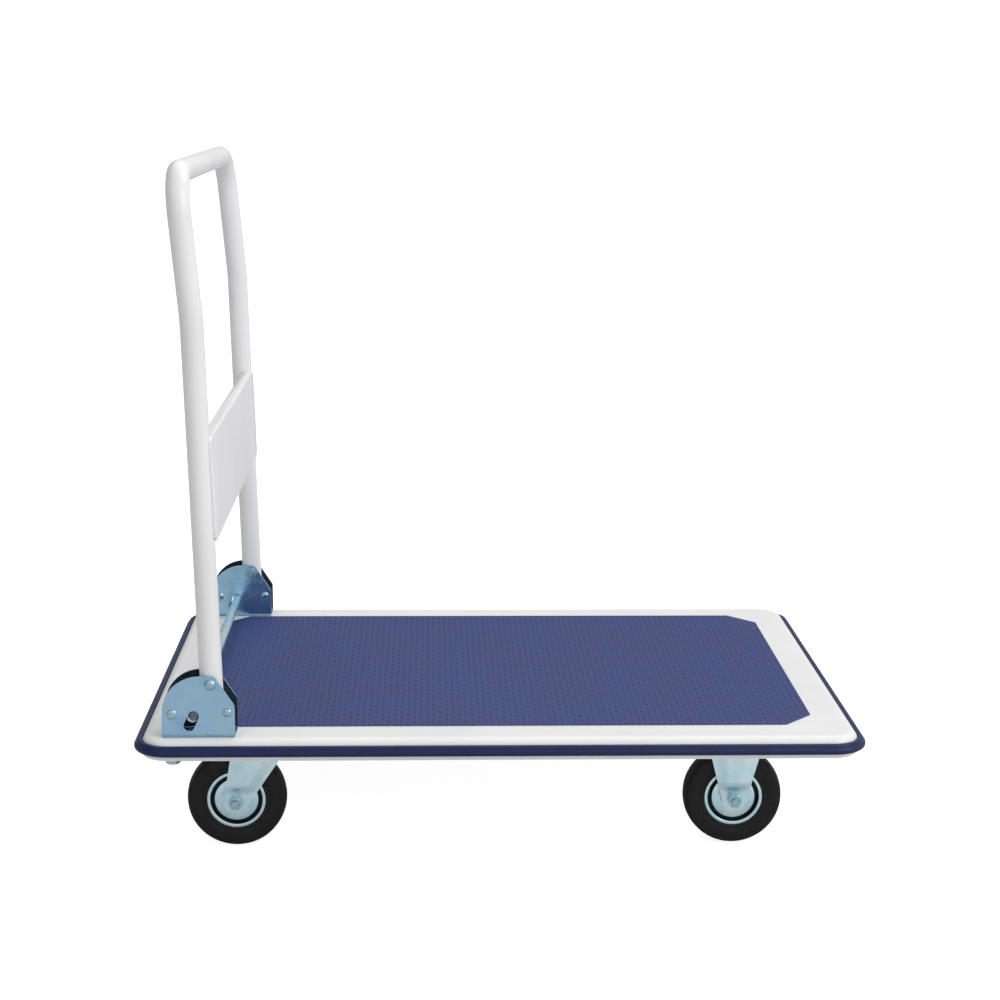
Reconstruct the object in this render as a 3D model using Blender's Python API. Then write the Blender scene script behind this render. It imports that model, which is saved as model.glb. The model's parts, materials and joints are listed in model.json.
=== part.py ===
"""Folding platform cart: a pressed steel deck on four casters, with a handle that folds down over it.

Metres, +Z up, +X away from the handle, +Y to the left of the person who pushes.
The origin is on the floor under the middle of the deck.
"""
from math import atan2, cos, hypot, pi, radians, sin, sqrt

import bmesh
import bpy
from mathutils import Matrix, Vector

# ---- driving dimensions ----
LENGTH = 0.910              # over the bumper
WIDTH = 0.610
DECK_TOP = 0.160            # upper face of the deck sheet
SKIRT_DEPTH = 0.0268
SHEET = 0.0012              # deck sheet
BUMPER_PROUD = 0.010
GAP = 0.0003                # left between pieces that rest on each other

MAT_LENGTH, MAT_WIDTH, MAT_THICK, MAT_CHAMFER = 0.7915, 0.4905, 0.0010, 0.037

WHEEL_RADIUS, TYRE_WIDTH = 0.0625, 0.033
TYRE_SIDES = 28
AXLE_HEIGHT = WHEEL_RADIUS
CASTER_Y = 0.227            # middle plane of each wheel
SWIVEL_X = -0.298           # vertical axis of a swivel caster
TRAIL = 0.035               # axle behind that axis
FIXED_X = 0.295             # axle of a fixed caster
PLATE_LENGTH, PLATE_WIDTH, PLATE_THICK = 0.105, 0.080, 0.0025
FORK_INSIDE, FORK_THICK = 0.040, 0.0025
AXLE_RADIUS = 0.005         # M10

BRACKET_Y = 0.2675          # middle plane of a handle leg and its bracket
BRACKET_WIDE, BRACKET_THICK = 0.035, 0.0025
PIVOT_X, PIVOT_Z = -0.3575, 0.2275
PIVOT_RADIUS = 0.005
REAR_SPACER = (-0.405, 0.190)
FRONT_SPACER = (-0.3372, 0.192)
SPACER_RADIUS = 0.0045
BASE_BOLT_X = -0.407

TUBE_RADIUS, TUBE_WALL = 0.014, 0.0016
HANDLE_RISE = 0.614         # pivot to the middle of the top tube
LEG_TAIL = 0.0345           # leg below the pivot
HANDLE_BEND = 0.050
HANDLE_LEAN = radians(1.6)
KNEE = 0.430                # where each leg begins to bow back, above the pivot
KNEE_RADIUS = 0.400
KNEE_TURN = radians(3.4)
PANEL_FROM, PANEL_TO = 0.172, 0.303     # along the leg, from the pivot
PANEL_SHEET = 0.0015

BAR_X, BAR_Z, BAR_RADIUS = -0.3785, 0.1875, 0.006
BAR_TRAVEL = 0.012
BAR_DIRECTION = Vector((-0.41, 0.0, -0.912)).normalized()

# ---- worked out from them ----
DECK_UNDER = DECK_TOP - SHEET
SKIRT_BOTTOM = DECK_TOP - SKIRT_DEPTH
CHANNEL_SHEET = 0.002
CHANNEL_TOP = DECK_UNDER - GAP
PLATE_TOP = CHANNEL_TOP - CHANNEL_SHEET - GAP
PLATE_UNDER = PLATE_TOP - PLATE_THICK
SIDES = (("right", -1), ("left", 1))


# ---- materials ----
def material(name, colour, roughness, metallic=0.0):
    made = bpy.data.materials.new(name)
    made.use_nodes = True
    shader = made.node_tree.nodes["Principled BSDF"]
    shader.inputs["Base Color"].default_value = (*colour, 1.0)
    shader.inputs["Roughness"].default_value = roughness
    shader.inputs["Metallic"].default_value = metallic
    return made


def clear_scene():
    for found in list(bpy.data.objects):
        bpy.data.objects.remove(found, do_unlink=True)


clear_scene()
WHITE_PAINT = material("white_powder_coat", (0.84, 0.84, 0.82), 0.35)
BLUE_VINYL = material("blue_vinyl", (0.012, 0.020, 0.070), 0.45)
MAT_VINYL = material("blue_mat_vinyl", (0.090, 0.110, 0.220), 0.6)
BLUE_ZINC = material("blue_zinc_plate", (0.25, 0.42, 0.55), 0.35, 1.0)
BRIGHT_ZINC = material("bright_zinc_plate", (0.62, 0.68, 0.72), 0.3, 1.0)
BLACK_RUBBER = material("black_rubber", (0.012, 0.012, 0.013), 0.7)
STEEL = material("plain_steel", (0.45, 0.45, 0.44), 0.4, 1.0)


# ---- mesh tools ----
def place(name, built, finish, parent=None, location=(0, 0, 0), smooth=30):
    """Makes an object of a bmesh, with its faces pointing out."""
    bmesh.ops.recalc_face_normals(built, faces=built.faces)
    mesh = bpy.data.meshes.new(name)
    built.to_mesh(mesh)
    built.free()
    mesh.materials.append(finish)
    mesh.shade_smooth()
    mesh.set_sharp_from_angle(angle=radians(smooth))
    made = bpy.data.objects.new(name, mesh)
    bpy.context.scene.collection.objects.link(made)
    made.location = location
    made.parent = parent
    return made


def axis_empty(name, location, parent=None, lean=0.0):
    """An empty on a joint's axis, which carries the pieces that move together."""
    made = bpy.data.objects.new(name, None)
    bpy.context.scene.collection.objects.link(made)
    made.location = location
    made.rotation_euler.y = lean
    made.parent = parent
    return made


def combine(kept, others, operation):
    """Cuts or joins other objects into one, which keeps its name, and removes them."""
    for other in others:
        step = kept.modifiers.new("join", 'BOOLEAN')
        step.operation = operation
        step.object = other
    bpy.context.view_layer.update()
    seen = kept.evaluated_get(bpy.context.evaluated_depsgraph_get())
    mesh = bpy.data.meshes.new_from_object(seen)
    kept.modifiers.clear()
    kept.data = mesh
    for other in others:
        bpy.data.objects.remove(other, do_unlink=True)
    return kept


def prism(outline, low, high, axis="Y"):
    """An outline pushed straight along an axis: (x, z) points along Y, (x, y) along Z, (y, z) along X."""
    lay = {"X": lambda a, b, c: (c, a, b), "Y": lambda a, b, c: (a, c, b),
           "Z": lambda a, b, c: (a, b, c)}[axis]
    built = bmesh.new()
    ends = [[built.verts.new(lay(a, b, level)) for a, b in outline] for level in (low, high)]
    built.faces.new(ends[0])
    built.faces.new(ends[1])
    count = len(outline)
    for i in range(count):
        j = (i + 1) % count
        built.faces.new((ends[0][i], ends[0][j], ends[1][j], ends[1][i]))
    return built


def lathe(profile, sides, axis="Y"):
    """A closed (radius, distance along the axis) profile turned about the axis; radius 0 ends it."""
    built = bmesh.new()
    rings = []
    for radius, along in profile:
        ring = []
        for i in range(sides if radius > 0 else 1):
            turn = 2 * pi * (i + 0.5) / sides
            a, b = radius * cos(turn), radius * sin(turn)
            ring.append(built.verts.new((a, along, b) if axis == "Y" else (a, b, along)))
        rings.append(ring)
    for one, two in zip(rings, rings[1:] + rings[:1]):
        if len(one) == 1 and len(two) == 1:
            continue
        for i in range(sides):
            j = (i + 1) % sides
            corners = [one[i % len(one)], one[j % len(one)], two[j % len(two)], two[i % len(two)]]
            built.faces.new([v for n, v in enumerate(corners) if v not in corners[:n]])
    return built


def arc(middle, radius, start, end, steps):
    """Points of an arc between two angles in degrees."""
    turns = [radians(start + (end - start) * i / steps) for i in range(steps + 1)]
    return [(middle[0] + radius * cos(t), middle[1] + radius * sin(t)) for t in turns]


def rounded_rectangle(half_x, half_y, radius, steps=5):
    points = []
    for quarter, (sx, sy) in enumerate(((1, 1), (-1, 1), (-1, -1), (1, -1))):
        middle = (sx * (half_x - radius), sy * (half_y - radius))
        points += arc(middle, radius, 90 * quarter, 90 * quarter + 90, steps)
    return points


def box(x0, x1, y0, y1, z0, z1):
    return prism([(x0, z0), (x1, z0), (x1, z1), (x0, z1)], y0, y1)


def rod_along_y(x, z, radius, low, high, sides=12):
    return prism(arc((x, z), radius, 0, 360 * (1 - 1 / sides), sides - 1), low, high)


def drill_z(x, y, radius, low, high, sides=12):
    return prism(arc((x, y), radius, 0, 360 * (1 - 1 / sides), sides - 1), low, high, axis="Z")


def hexagon(across_flats, turn=0):
    return arc((0, 0), across_flats / sqrt(3), turn, turn + 300, 5)


def cutter(built):
    return place("cutter", built, STEEL)


# ---- deck, bumper, mat ----
SKIRT_X = LENGTH / 2 - BUMPER_PROUD
SKIRT_Y = WIDTH / 2 - BUMPER_PROUD
SKIRT_CORNER = 0.035
SHOULDER = 0.012


def deck_ring(built, inset, height):
    """One rounded-rectangle ring of points, set in from the skirt's outer face."""
    outline = rounded_rectangle(SKIRT_X - inset, SKIRT_Y - inset, max(SKIRT_CORNER - inset, 0.004))
    return [built.verts.new((x, y, height)) for x, y in outline]


def bridge(built, one, two):
    for i in range(len(one)):
        j = (i + 1) % len(one)
        built.faces.new((one[i], one[j], two[j], two[i]))


def build_deck():
    """A pressed tray, open underneath: flat top, round shoulder, straight skirt."""
    built = bmesh.new()
    outer = [(SHOULDER * (1 - sin(t)), DECK_TOP - SHOULDER * (1 - cos(t)))
             for t in (radians(a) for a in (0, 30, 60, 90))] + [(0, SKIRT_BOTTOM)]
    inner_bend = SHOULDER - SHEET
    inner = [(SHEET, SKIRT_BOTTOM)] + [
        (SHEET + inner_bend * (1 - sin(t)), DECK_UNDER - inner_bend * (1 - cos(t)))
        for t in (radians(a) for a in (90, 45, 0))]
    rings = [deck_ring(built, inset, height) for inset, height in outer + inner]
    for one, two in zip(rings, rings[1:]):
        bridge(built, one, two)
    built.faces.new(rings[0])
    built.faces.new(rings[-1])
    deck = place("deck_pan", built, WHITE_PAINT)
    holes = [cutter(drill_z(BASE_BOLT_X, side * BRACKET_Y, 0.0054, 0.14, 0.17)) for _, side in SIDES]
    return combine(deck, holes, 'DIFFERENCE')


def build_bumper():
    """A soft vinyl strip pressed on all round the skirt."""
    built = bmesh.new()
    low, high = DECK_TOP - 0.0190, DECK_TOP - 0.0066
    section = [(-GAP, low), (-0.0075, low), (-0.0096, low + 0.0020), (-BUMPER_PROUD, low + 0.0050),
               (-BUMPER_PROUD, high - 0.0050), (-0.0096, high - 0.0020), (-0.0075, high), (-GAP, high)]
    rings = [deck_ring(built, inset, height) for inset, height in section]
    for one, two in zip(rings, rings[1:] + rings[:1]):
        bridge(built, one, two)
    return place("edge_bumper", built, BLUE_VINYL)


def build_mat():
    """The ribbed vinyl mat glued on the deck, its four corners cut off."""
    x, y, cut = MAT_LENGTH / 2, MAT_WIDTH / 2, MAT_CHAMFER
    outline = [(x, -y + cut), (x, y - cut), (x - cut, y), (-x + cut, y),
               (-x, y - cut), (-x, -y + cut), (-x + cut, -y), (x - cut, -y)]
    low = DECK_TOP + GAP
    return place("deck_mat", prism(outline, low, low + MAT_THICK, axis="Z"), MAT_VINYL)


# ---- stiffeners welded under the deck ----
CHANNEL_HALF_LENGTH = 0.279


def build_end_channel():
    """A deep channel across the handle end, open upwards, which the brackets are bolted through."""
    top, web = CHANNEL_TOP, SKIRT_BOTTOM - 0.004
    x, half, t = BASE_BOLT_X, 0.015, CHANNEL_SHEET
    outline = [(x - half, top), (x - half, web), (x + half, web), (x + half, top),
               (x + half - t, top), (x + half - t, web + t), (x - half + t, web + t), (x - half + t, top)]
    built = prism(outline, -CHANNEL_HALF_LENGTH, CHANNEL_HALF_LENGTH)
    channel = place("end_channel", built, WHITE_PAINT)
    holes = [cutter(drill_z(BASE_BOLT_X, side * BRACKET_Y, 0.0054, web - 0.01, web + 0.01))
             for _, side in SIDES]
    return combine(channel, holes, 'DIFFERENCE')


def build_caster_channel(name, x):
    """A wide shallow channel across the deck; the casters of one axle are bolted under its web."""
    half, depth, t = PLATE_LENGTH / 2 + 0.004, 0.018, CHANNEL_SHEET
    top = CHANNEL_TOP
    outline = [(x - half, top - depth), (x - half, top), (x + half, top), (x + half, top - depth),
               (x + half - t, top - depth), (x + half - t, top - t), (x - half + t, top - t),
               (x - half + t, top - depth)]
    return place(name, prism(outline, -CHANNEL_HALF_LENGTH, CHANNEL_HALF_LENGTH), WHITE_PAINT)


def build_rail(name, y):
    """A channel along the deck, between the two caster channels."""
    half, depth, t = 0.020, 0.020, CHANNEL_SHEET
    top = CHANNEL_TOP
    outline = [(y - half, top - depth), (y - half, top), (y + half, top), (y + half, top - depth),
               (y + half - t, top - depth), (y + half - t, top - t), (y - half + t, top - t),
               (y - half + t, top - depth)]
    clear = PLATE_LENGTH / 2 + 0.004 + 0.0005
    return place(name, prism(outline, SWIVEL_X + clear, FIXED_X - clear, axis="X"), WHITE_PAINT)


# ---- handle brackets ----
def cheek_outline(low):
    """Round at the back, flat on top, slanted at the front, straight down to the deck."""
    back, round_middle, radius = -0.4175, (-0.3708, 0.1920), 0.0460
    points = [(back, low)] + arc(round_middle, radius, 180, 90, 7)
    points += [(-0.3545, 0.2380)] + arc((-0.3545, 0.2335), 0.0045, 60, 32, 2)
    points += [(-0.3300, 0.2038), (-0.3285, 0.1990), (-0.3280, low)]
    return points


def slot_outline(radius):
    """The slanted slot that the release bar slides in, with round ends."""
    travel = BAR_DIRECTION * (BAR_TRAVEL + 0.0015)
    ends = ((BAR_X, BAR_Z), (BAR_X + travel.x, BAR_Z + travel.z))
    across = atan2(BAR_DIRECTION.z, BAR_DIRECTION.x) * 180 / pi
    return (arc(ends[0], radius, across + 90, across + 270, 5)
            + arc(ends[1], radius, across + 270, across + 450, 5))


def build_bracket(name, side):
    """A U of thick plate: a base on the deck and two upright cheeks."""
    y, half = side * BRACKET_Y, BRACKET_WIDE / 2
    low = DECK_TOP + GAP
    bracket = place(name, prism(cheek_outline(low), y - half, y + half), BLUE_ZINC)
    inside = half - BRACKET_THICK
    past = half + 0.01
    cuts = [box(-0.45, -0.30, y - inside, y + inside, low + BRACKET_THICK, 0.26),
            prism(slot_outline(0.0067), y - past, y + past),
            rod_along_y(PIVOT_X, PIVOT_Z, PIVOT_RADIUS + GAP, y - past, y + past)]
    cuts += [rod_along_y(x, z, SPACER_RADIUS - 0.0007, y - past, y + past, 10)
             for x, z in (REAR_SPACER, FRONT_SPACER)]
    cuts += [drill_z(BASE_BOLT_X, y, 0.0054, low - 0.01, low + 0.01)]
    return combine(bracket, [cutter(cut) for cut in cuts], 'DIFFERENCE')


def build_spacer(name, side, spot, head):
    """A shouldered rivet that holds the cheeks apart, peened over on both sides."""
    half = BRACKET_WIDE / 2
    inside = half - BRACKET_THICK - GAP
    face = half + GAP
    shank = SPACER_RADIUS - 0.0011
    up = [(SPACER_RADIUS, inside), (shank, inside), (shank, face), (head, face), (head * 0.6, face + 0.0022),
          (0, face + 0.0022)]
    down = [(radius, -along) for radius, along in reversed(up)]
    location = (spot[0], side * BRACKET_Y, spot[1])
    return place(name, lathe(up + down, 10), BRIGHT_ZINC, location=location)


def build_pivot_bolt(side_name, side):
    """The bolt that a handle leg turns on, its domed head outboard and its nut inboard."""
    half = BRACKET_WIDE / 2
    face, nut_high = half + GAP, 0.0080
    tip = -(face + nut_high + 0.0015)
    location = (PIVOT_X, side * BRACKET_Y, PIVOT_Z)
    bolt = [(0, tip), (PIVOT_RADIUS - 0.0008, tip), (PIVOT_RADIUS, tip + 0.0008), (PIVOT_RADIUS, face),
            (0.0072, face), (0.0066, face + 0.0020), (0.0042, face + 0.0033), (0, face + 0.0038)]
    placed = [(radius, side * along) for radius, along in bolt]
    place(f"pivot_bolt_{side_name}", lathe(placed, 12), BRIGHT_ZINC, location=location)
    ends = sorted((-side * face, -side * (face + nut_high)))
    nut = place(f"pivot_nut_{side_name}", prism(hexagon(0.016), *ends), BRIGHT_ZINC, location=location)
    hole = rod_along_y(PIVOT_X, PIVOT_Z, PIVOT_RADIUS + GAP, side * BRACKET_Y - 0.05, side * BRACKET_Y + 0.05)
    combine(nut, [cutter(hole)], 'DIFFERENCE')


def build_base_bolt(name, side):
    """The bolt up through the end channel, the deck and the bracket, with the nut run down on it."""
    web_under = SKIRT_BOTTOM - 0.004 - GAP
    base_top = DECK_TOP + GAP + BRACKET_THICK + GAP
    nut_top = base_top + 0.0065
    built = lathe([(0, web_under - 0.0070), (0.0090, web_under - 0.0070), (0.0095, web_under - 0.0060),
                   (0.0095, web_under), (0.0050, web_under), (0.0050, base_top), (0.0078, base_top),
                   (0.0078, nut_top), (0.0048, nut_top), (0.0048, nut_top + 0.0020), (0, nut_top + 0.0020)],
                  12, axis="Z")
    return place(name, built, BRIGHT_ZINC, location=(BASE_BOLT_X, side * BRACKET_Y, 0))


# ---- casters ----
def leg_outline(axle_x, top, shoulders):
    """A fork cheek, from two shoulders down to a round end at the axle, at axle_x and AXLE_HEIGHT."""
    radius = 0.015
    front, back = shoulders
    middle = (axle_x, AXLE_HEIGHT)
    points = [(front[0], top), front]
    start = tangent_angle(front, middle, radius, 1)
    end = tangent_angle(back, middle, radius, -1)
    points += arc(middle, radius, start, end - 360, 8)
    return points + [back, (back[0], top)]


def tangent_angle(point, middle, radius, side):
    """Where a line from a point touches a circle, as an angle in degrees about its middle."""
    dx, dz = point[0] - middle[0], point[1] - middle[1]
    spread = pi / 2 - atan2(radius, sqrt(dx * dx + dz * dz - radius * radius))
    return (atan2(dz, dx) - side * spread) * 180 / pi


def fork_legs(axle_x, outline):
    """The two cheeks of a fork, drilled for the axle, about a local origin in the wheel's middle plane."""
    inside = FORK_INSIDE / 2
    cheeks = []
    for side in (-1, 1):
        ends = sorted((side * inside, side * (inside + FORK_THICK)))
        cheek = place("cheek", prism(outline, *ends), BRIGHT_ZINC)
        hole = cutter(rod_along_y(axle_x, AXLE_HEIGHT, AXLE_RADIUS + GAP, ends[0] - 0.01, ends[1] + 0.01))
        cheeks.append(combine(cheek, [hole], 'DIFFERENCE'))
    return cheeks


def caster_plate(top):
    outline = rounded_rectangle(PLATE_LENGTH / 2, PLATE_WIDTH / 2, 0.008, 3)
    return place("plate", prism(outline, top - PLATE_THICK, top, axis="Z"), BRIGHT_ZINC)


def move_mesh(found, name, offset, parent=None, location=(0, 0, 0)):
    found.name = found.data.name = name
    found.data.transform(Matrix.Translation(Vector(offset)))
    found.parent = parent
    found.location = location
    return found


def build_fixed_fork(side_name, side):
    """A plate with two straight tapered cheeks welded under it."""
    half, overlap = 0.0365, 0.001
    shoulders = ((half, PLATE_UNDER - 0.012), (-half, PLATE_UNDER - 0.012))
    cheeks = fork_legs(0, leg_outline(0, PLATE_UNDER + overlap, shoulders))
    fork = combine(caster_plate(PLATE_TOP), cheeks, 'UNION')
    return move_mesh(fork, f"fixed_fork_{side_name}", (FIXED_X, side * CASTER_Y, 0))


RACE_TOP = PLATE_UNDER - 0.0075
CROWN_UNDER = RACE_TOP - 0.0078
PIN_RADIUS = 0.006


def build_swivel_top(side_name, side):
    """The swivel caster's top plate, with the upper ball race pressed down out of it, and its king pin."""
    place_at = (SWIVEL_X, side * CASTER_Y, 0)
    race = lathe([(0, RACE_TOP + 0.0004), (0.0240, RACE_TOP + 0.0004), (0.0300, PLATE_UNDER - 0.0010),
                  (0.0300, PLATE_UNDER + 0.0010), (0, PLATE_UNDER + 0.0010)], 16, axis="Z")
    plate = combine(caster_plate(PLATE_TOP), [cutter(race)], 'UNION')
    hole = cutter(drill_z(0, 0, PIN_RADIUS + 0.0004, 0.12, 0.17))
    move_mesh(combine(plate, [hole], 'DIFFERENCE'), f"swivel_plate_{side_name}", place_at)
    head_top = CROWN_UNDER - 0.0005
    pin = lathe([(0, head_top - 0.0050), (0.0080, head_top - 0.0050), (0.0095, head_top - 0.0035),
                 (0.0095, head_top), (PIN_RADIUS, head_top), (PIN_RADIUS, PLATE_TOP),
                  (0, PLATE_TOP)], 12, axis="Z")
    place(f"king_pin_{side_name}", pin, STEEL, location=place_at)


def build_swivel_fork(side_name, parent):
    """The turning fork: lower ball race, crown and two raked cheeks, about the swivel axis."""
    half_wide = FORK_INSIDE / 2 + FORK_THICK
    crown_top = CROWN_UNDER + 0.0030
    shoulders = ((0.0190, 0.1160), (-0.0415, 0.1160))
    outline = leg_outline(-TRAIL, CROWN_UNDER + 0.0010, shoulders)
    outline = [(0.0300, CROWN_UNDER + 0.0010), (0.0290, CROWN_UNDER - 0.0040)] + outline[1:-1]
    outline += [(-0.0375, CROWN_UNDER + 0.0010)]
    cheeks = fork_legs(-TRAIL, outline)
    crown = place("crown", box(-0.0375, 0.0300, -half_wide, half_wide, CROWN_UNDER, crown_top), BRIGHT_ZINC)
    race = cutter(lathe([(0, crown_top - 0.0010), (0.0310, crown_top - 0.0010), (0.0310, RACE_TOP - 0.0020),
                         (0.0290, RACE_TOP), (0, RACE_TOP)], 16, axis="Z"))
    fork = combine(crown, cheeks + [race], 'UNION')
    hole = cutter(drill_z(0, 0, PIN_RADIUS + 0.0005, 0.12, 0.17))
    move_mesh(combine(fork, [hole], 'DIFFERENCE'), f"swivel_fork_{side_name}", (0, 0, 0), parent)


def build_axle(name, outboard, parent, location):
    """A hexagon-headed bolt through the fork, its head inboard, and its nut outboard."""
    face = FORK_INSIDE / 2 + FORK_THICK + GAP
    nut_high, head_high = 0.0080, 0.0064
    tip = face + nut_high + 0.0022
    ends = sorted((-outboard * face, -outboard * (face + head_high)))
    bolt = place(f"{name}_axle_bolt", prism(hexagon(0.017, 30), *ends), BRIGHT_ZINC, parent, location)
    shank = [(0, -face - 0.001), (AXLE_RADIUS, -face - 0.001), (AXLE_RADIUS, tip - 0.0010),
             (AXLE_RADIUS - 0.0010, tip), (0, tip)]
    shaft = place("shank", lathe([(r, outboard * y) for r, y in shank], 12), BRIGHT_ZINC, parent, location)
    combine(bolt, [shaft], 'UNION')
    ends = sorted((outboard * face, outboard * (face + nut_high)))
    nut = place(f"{name}_axle_nut", prism(hexagon(0.017, 30), *ends), BRIGHT_ZINC, parent, location)
    hole = place("cutter", rod_along_y(0, 0, AXLE_RADIUS + GAP, -0.05, 0.05), STEEL, parent, location)
    combine(nut, [hole], 'DIFFERENCE')


def build_wheel(name, outboard, parent):
    """A solid rubber tyre on two pressed steel discs, which are riveted about a bearing hub."""
    half, bore, rim = TYRE_WIDTH / 2, 0.0383, 0.0378
    tread = WHEEL_RADIUS / cos(pi / TYRE_SIDES)     # the flats, not the corners, are at the wheel's radius
    tyre = [(bore, -half), (tread - 0.0060, -half), (tread - 0.0014, -half + 0.0035), (tread, -half + 0.0085)]
    tyre += [(radius, -along) for radius, along in reversed(tyre)]
    place(f"{name}_tyre", lathe(tyre, TYRE_SIDES), BLACK_RUBBER, parent)
    disc = [(rim, GAP / 2), (rim, 0.0148), (0.0335, 0.0148), (0.0325, 0.0072), (0.0275, 0.0072),
            (0.0262, 0.0138), (0.0106, 0.0138), (0.0106, 0.0118), (0.0255, 0.0055), (0.0352, 0.0055),
            (0.0352, GAP / 2)]
    for place_name, side in (("outer", outboard), ("inner", -outboard)):
        profile = [(radius, side * along) for radius, along in disc]
        place(f"{name}_disc_{place_name}", lathe(profile, 18), BRIGHT_ZINC, parent)
    hub_half = FORK_INSIDE / 2 - 0.001
    hub = [(0.0055, -hub_half), (0.0103, -hub_half), (0.0103, hub_half), (0.0055, hub_half)]
    place(f"{name}_hub", lathe(hub, 14), STEEL, parent)


def build_casters():
    for side_name, side in SIDES:
        build_fixed_fork(side_name, side)
        axle = axis_empty(f"fixed_axle_{side_name}", (FIXED_X, side * CASTER_Y, AXLE_HEIGHT))
        build_axle(f"fixed_{side_name}", side, None, axle.location)
        build_wheel(f"fixed_{side_name}", side, axle)

        build_swivel_top(side_name, side)
        swivel = axis_empty(f"swivel_axis_{side_name}", (SWIVEL_X, side * CASTER_Y, 0))
        build_swivel_fork(side_name, swivel)
        axle = axis_empty(f"swivel_axle_{side_name}", (-TRAIL, 0, AXLE_HEIGHT), swivel)
        build_axle(f"swivel_{side_name}", side, swivel, axle.location)
        build_wheel(f"swivel_{side_name}", side, axle)


# ---- folding handle ----
def handle_path():
    """The middle line of the bent tube, from the foot of one leg over to the other."""
    half, bend = BRACKET_Y, HANDLE_BEND
    knee = [(-half, KNEE + KNEE_RADIUS * KNEE_TURN * part) for part in (0, 0.5, 1)]
    right = [(-half, -LEG_TAIL)] + knee + arc((-half + bend, HANDLE_RISE - bend), bend, 180, 90, 5)
    return right + [(-y, z) for y, z in reversed(right)]


def bowed(x, y, z):
    """Takes a point of the flat handle to where it is once the legs have been bowed back at their knees."""
    if z <= KNEE:
        return x, y, z
    turn = min((z - KNEE) / KNEE_RADIUS, KNEE_TURN)
    past = z - KNEE - turn * KNEE_RADIUS
    reach = KNEE_RADIUS + x
    return reach * cos(turn) - KNEE_RADIUS - past * sin(turn), y, KNEE + reach * sin(turn) + past * cos(turn)


def build_handle_tube(parent):
    path = handle_path()
    built = bmesh.new()
    rings = {TUBE_RADIUS: [], TUBE_RADIUS - TUBE_WALL: []}
    sides = 14
    for i, (y, z) in enumerate(path):
        before, after = path[max(i - 1, 0)], path[min(i + 1, len(path) - 1)]
        run = hypot(after[0] - before[0], after[1] - before[1])
        ahead = ((after[0] - before[0]) / run, (after[1] - before[1]) / run)
        for radius, kept in rings.items():
            ring = []
            for step in range(sides):
                turn = 2 * pi * step / sides
                side_step = radius * sin(turn)
                across, up = side_step * ahead[1], -side_step * ahead[0]
                ring.append(built.verts.new(bowed(radius * cos(turn), y + across, z + up)))
            kept.append(ring)
    outer, inner = rings.values()
    for wall in (outer, inner):
        for one, two in zip(wall, wall[1:]):
            bridge(built, one, two)
    bridge(built, outer[0], inner[0])
    bridge(built, outer[-1], inner[-1])
    tube = place("handle_tube", built, WHITE_PAINT)
    holes = [cutter(rod_along_y(0, 0, 0.0080, y - 0.03, y + 0.03)) for y in (-BRACKET_Y, BRACKET_Y)]
    combine(tube, holes, 'DIFFERENCE')
    tube.parent = parent


def build_panel(parent):
    """A sheet across the front of the legs, its long edges folded back between them."""
    front = TUBE_RADIUS + GAP
    fold, t = 0.012, PANEL_SHEET
    low, high = PANEL_FROM, PANEL_TO
    folded = [(front + t, low), (front + t, high), (front - fold, high), (front - fold, high - t),
              (front, high - t),
              (front, low + t), (front - fold, low + t), (front - fold, low)]
    middle = place("handle_panel", prism(folded, -BRACKET_Y + 0.0165, BRACKET_Y - 0.0165), WHITE_PAINT)
    half = BRACKET_Y + 0.006
    face = [(y, z) for y, z in rounded_rectangle(half, (high - low) / 2, 0.012, 3)]
    face = [(y, z + (low + high) / 2) for y, z in face]
    sheet = cutter(prism(face, front, front + t, axis="X"))
    combine(middle, [sheet], 'UNION')
    middle.parent = parent


def build_sleeve(name, side, parent):
    """A bush welded through the leg, which turns on the pivot bolt."""
    half, bore = TUBE_RADIUS + 0.0003, PIVOT_RADIUS + 0.0004
    profile = [(bore, -half), (0.0075, -half), (0.0075, half), (bore, half)]
    return place(name, lathe(profile, 12), STEEL, parent, (0, side * BRACKET_Y, 0))


# ---- release bar ----
def build_release_bar():
    """A plain round bar from bracket to bracket, pressed down by foot to free the handle."""
    half = BRACKET_Y + BRACKET_WIDE / 2 - 0.0005
    chamfer = 0.0010
    profile = [(0, -half), (BAR_RADIUS - chamfer, -half), (BAR_RADIUS, -half + chamfer),
               (BAR_RADIUS, half - chamfer),
               (BAR_RADIUS - chamfer, half), (0, half)]
    return place("release_bar", lathe(profile, 16), BRIGHT_ZINC, location=(BAR_X, 0, BAR_Z))


def build_spring(name, side):
    """A torsion spring wound on the rear spacer, with one arm under the bar and one on the bracket's base."""
    wire, coil, turns, steps = 0.0008, 0.0068, 3, 10
    x, z = REAR_SPACER
    pitch = 2 * wire + 0.0002
    start, total = radians(285), turns * steps
    points = [(x - 0.006, -total * pitch / steps / 2, DECK_TOP + GAP + BRACKET_THICK + 2 * wire)]
    for i in range(total + 1):
        turn = start - 2 * pi * i / steps
        along = (i / total - 0.5) * turns * pitch
        points.append((x + coil * cos(turn), along, z + coil * sin(turn)))
    points.append((BAR_X + 0.002, points[-1][1], BAR_Z - BAR_RADIUS - wire - 0.0006))
    curve = bpy.data.curves.new(name, 'CURVE')
    curve.dimensions = '3D'
    curve.bevel_depth = wire
    curve.bevel_resolution = 0
    curve.use_fill_caps = True
    spline = curve.splines.new('POLY')
    spline.points.add(len(points) - 1)
    for point, spot in zip(spline.points, points):
        point.co = (*spot, 1.0)
    made = bpy.data.objects.new(name, curve)
    curve.materials.append(STEEL)
    bpy.context.scene.collection.objects.link(made)
    made.location = (0, side * (BRACKET_Y + 0.0115), 0)
    return made


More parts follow.
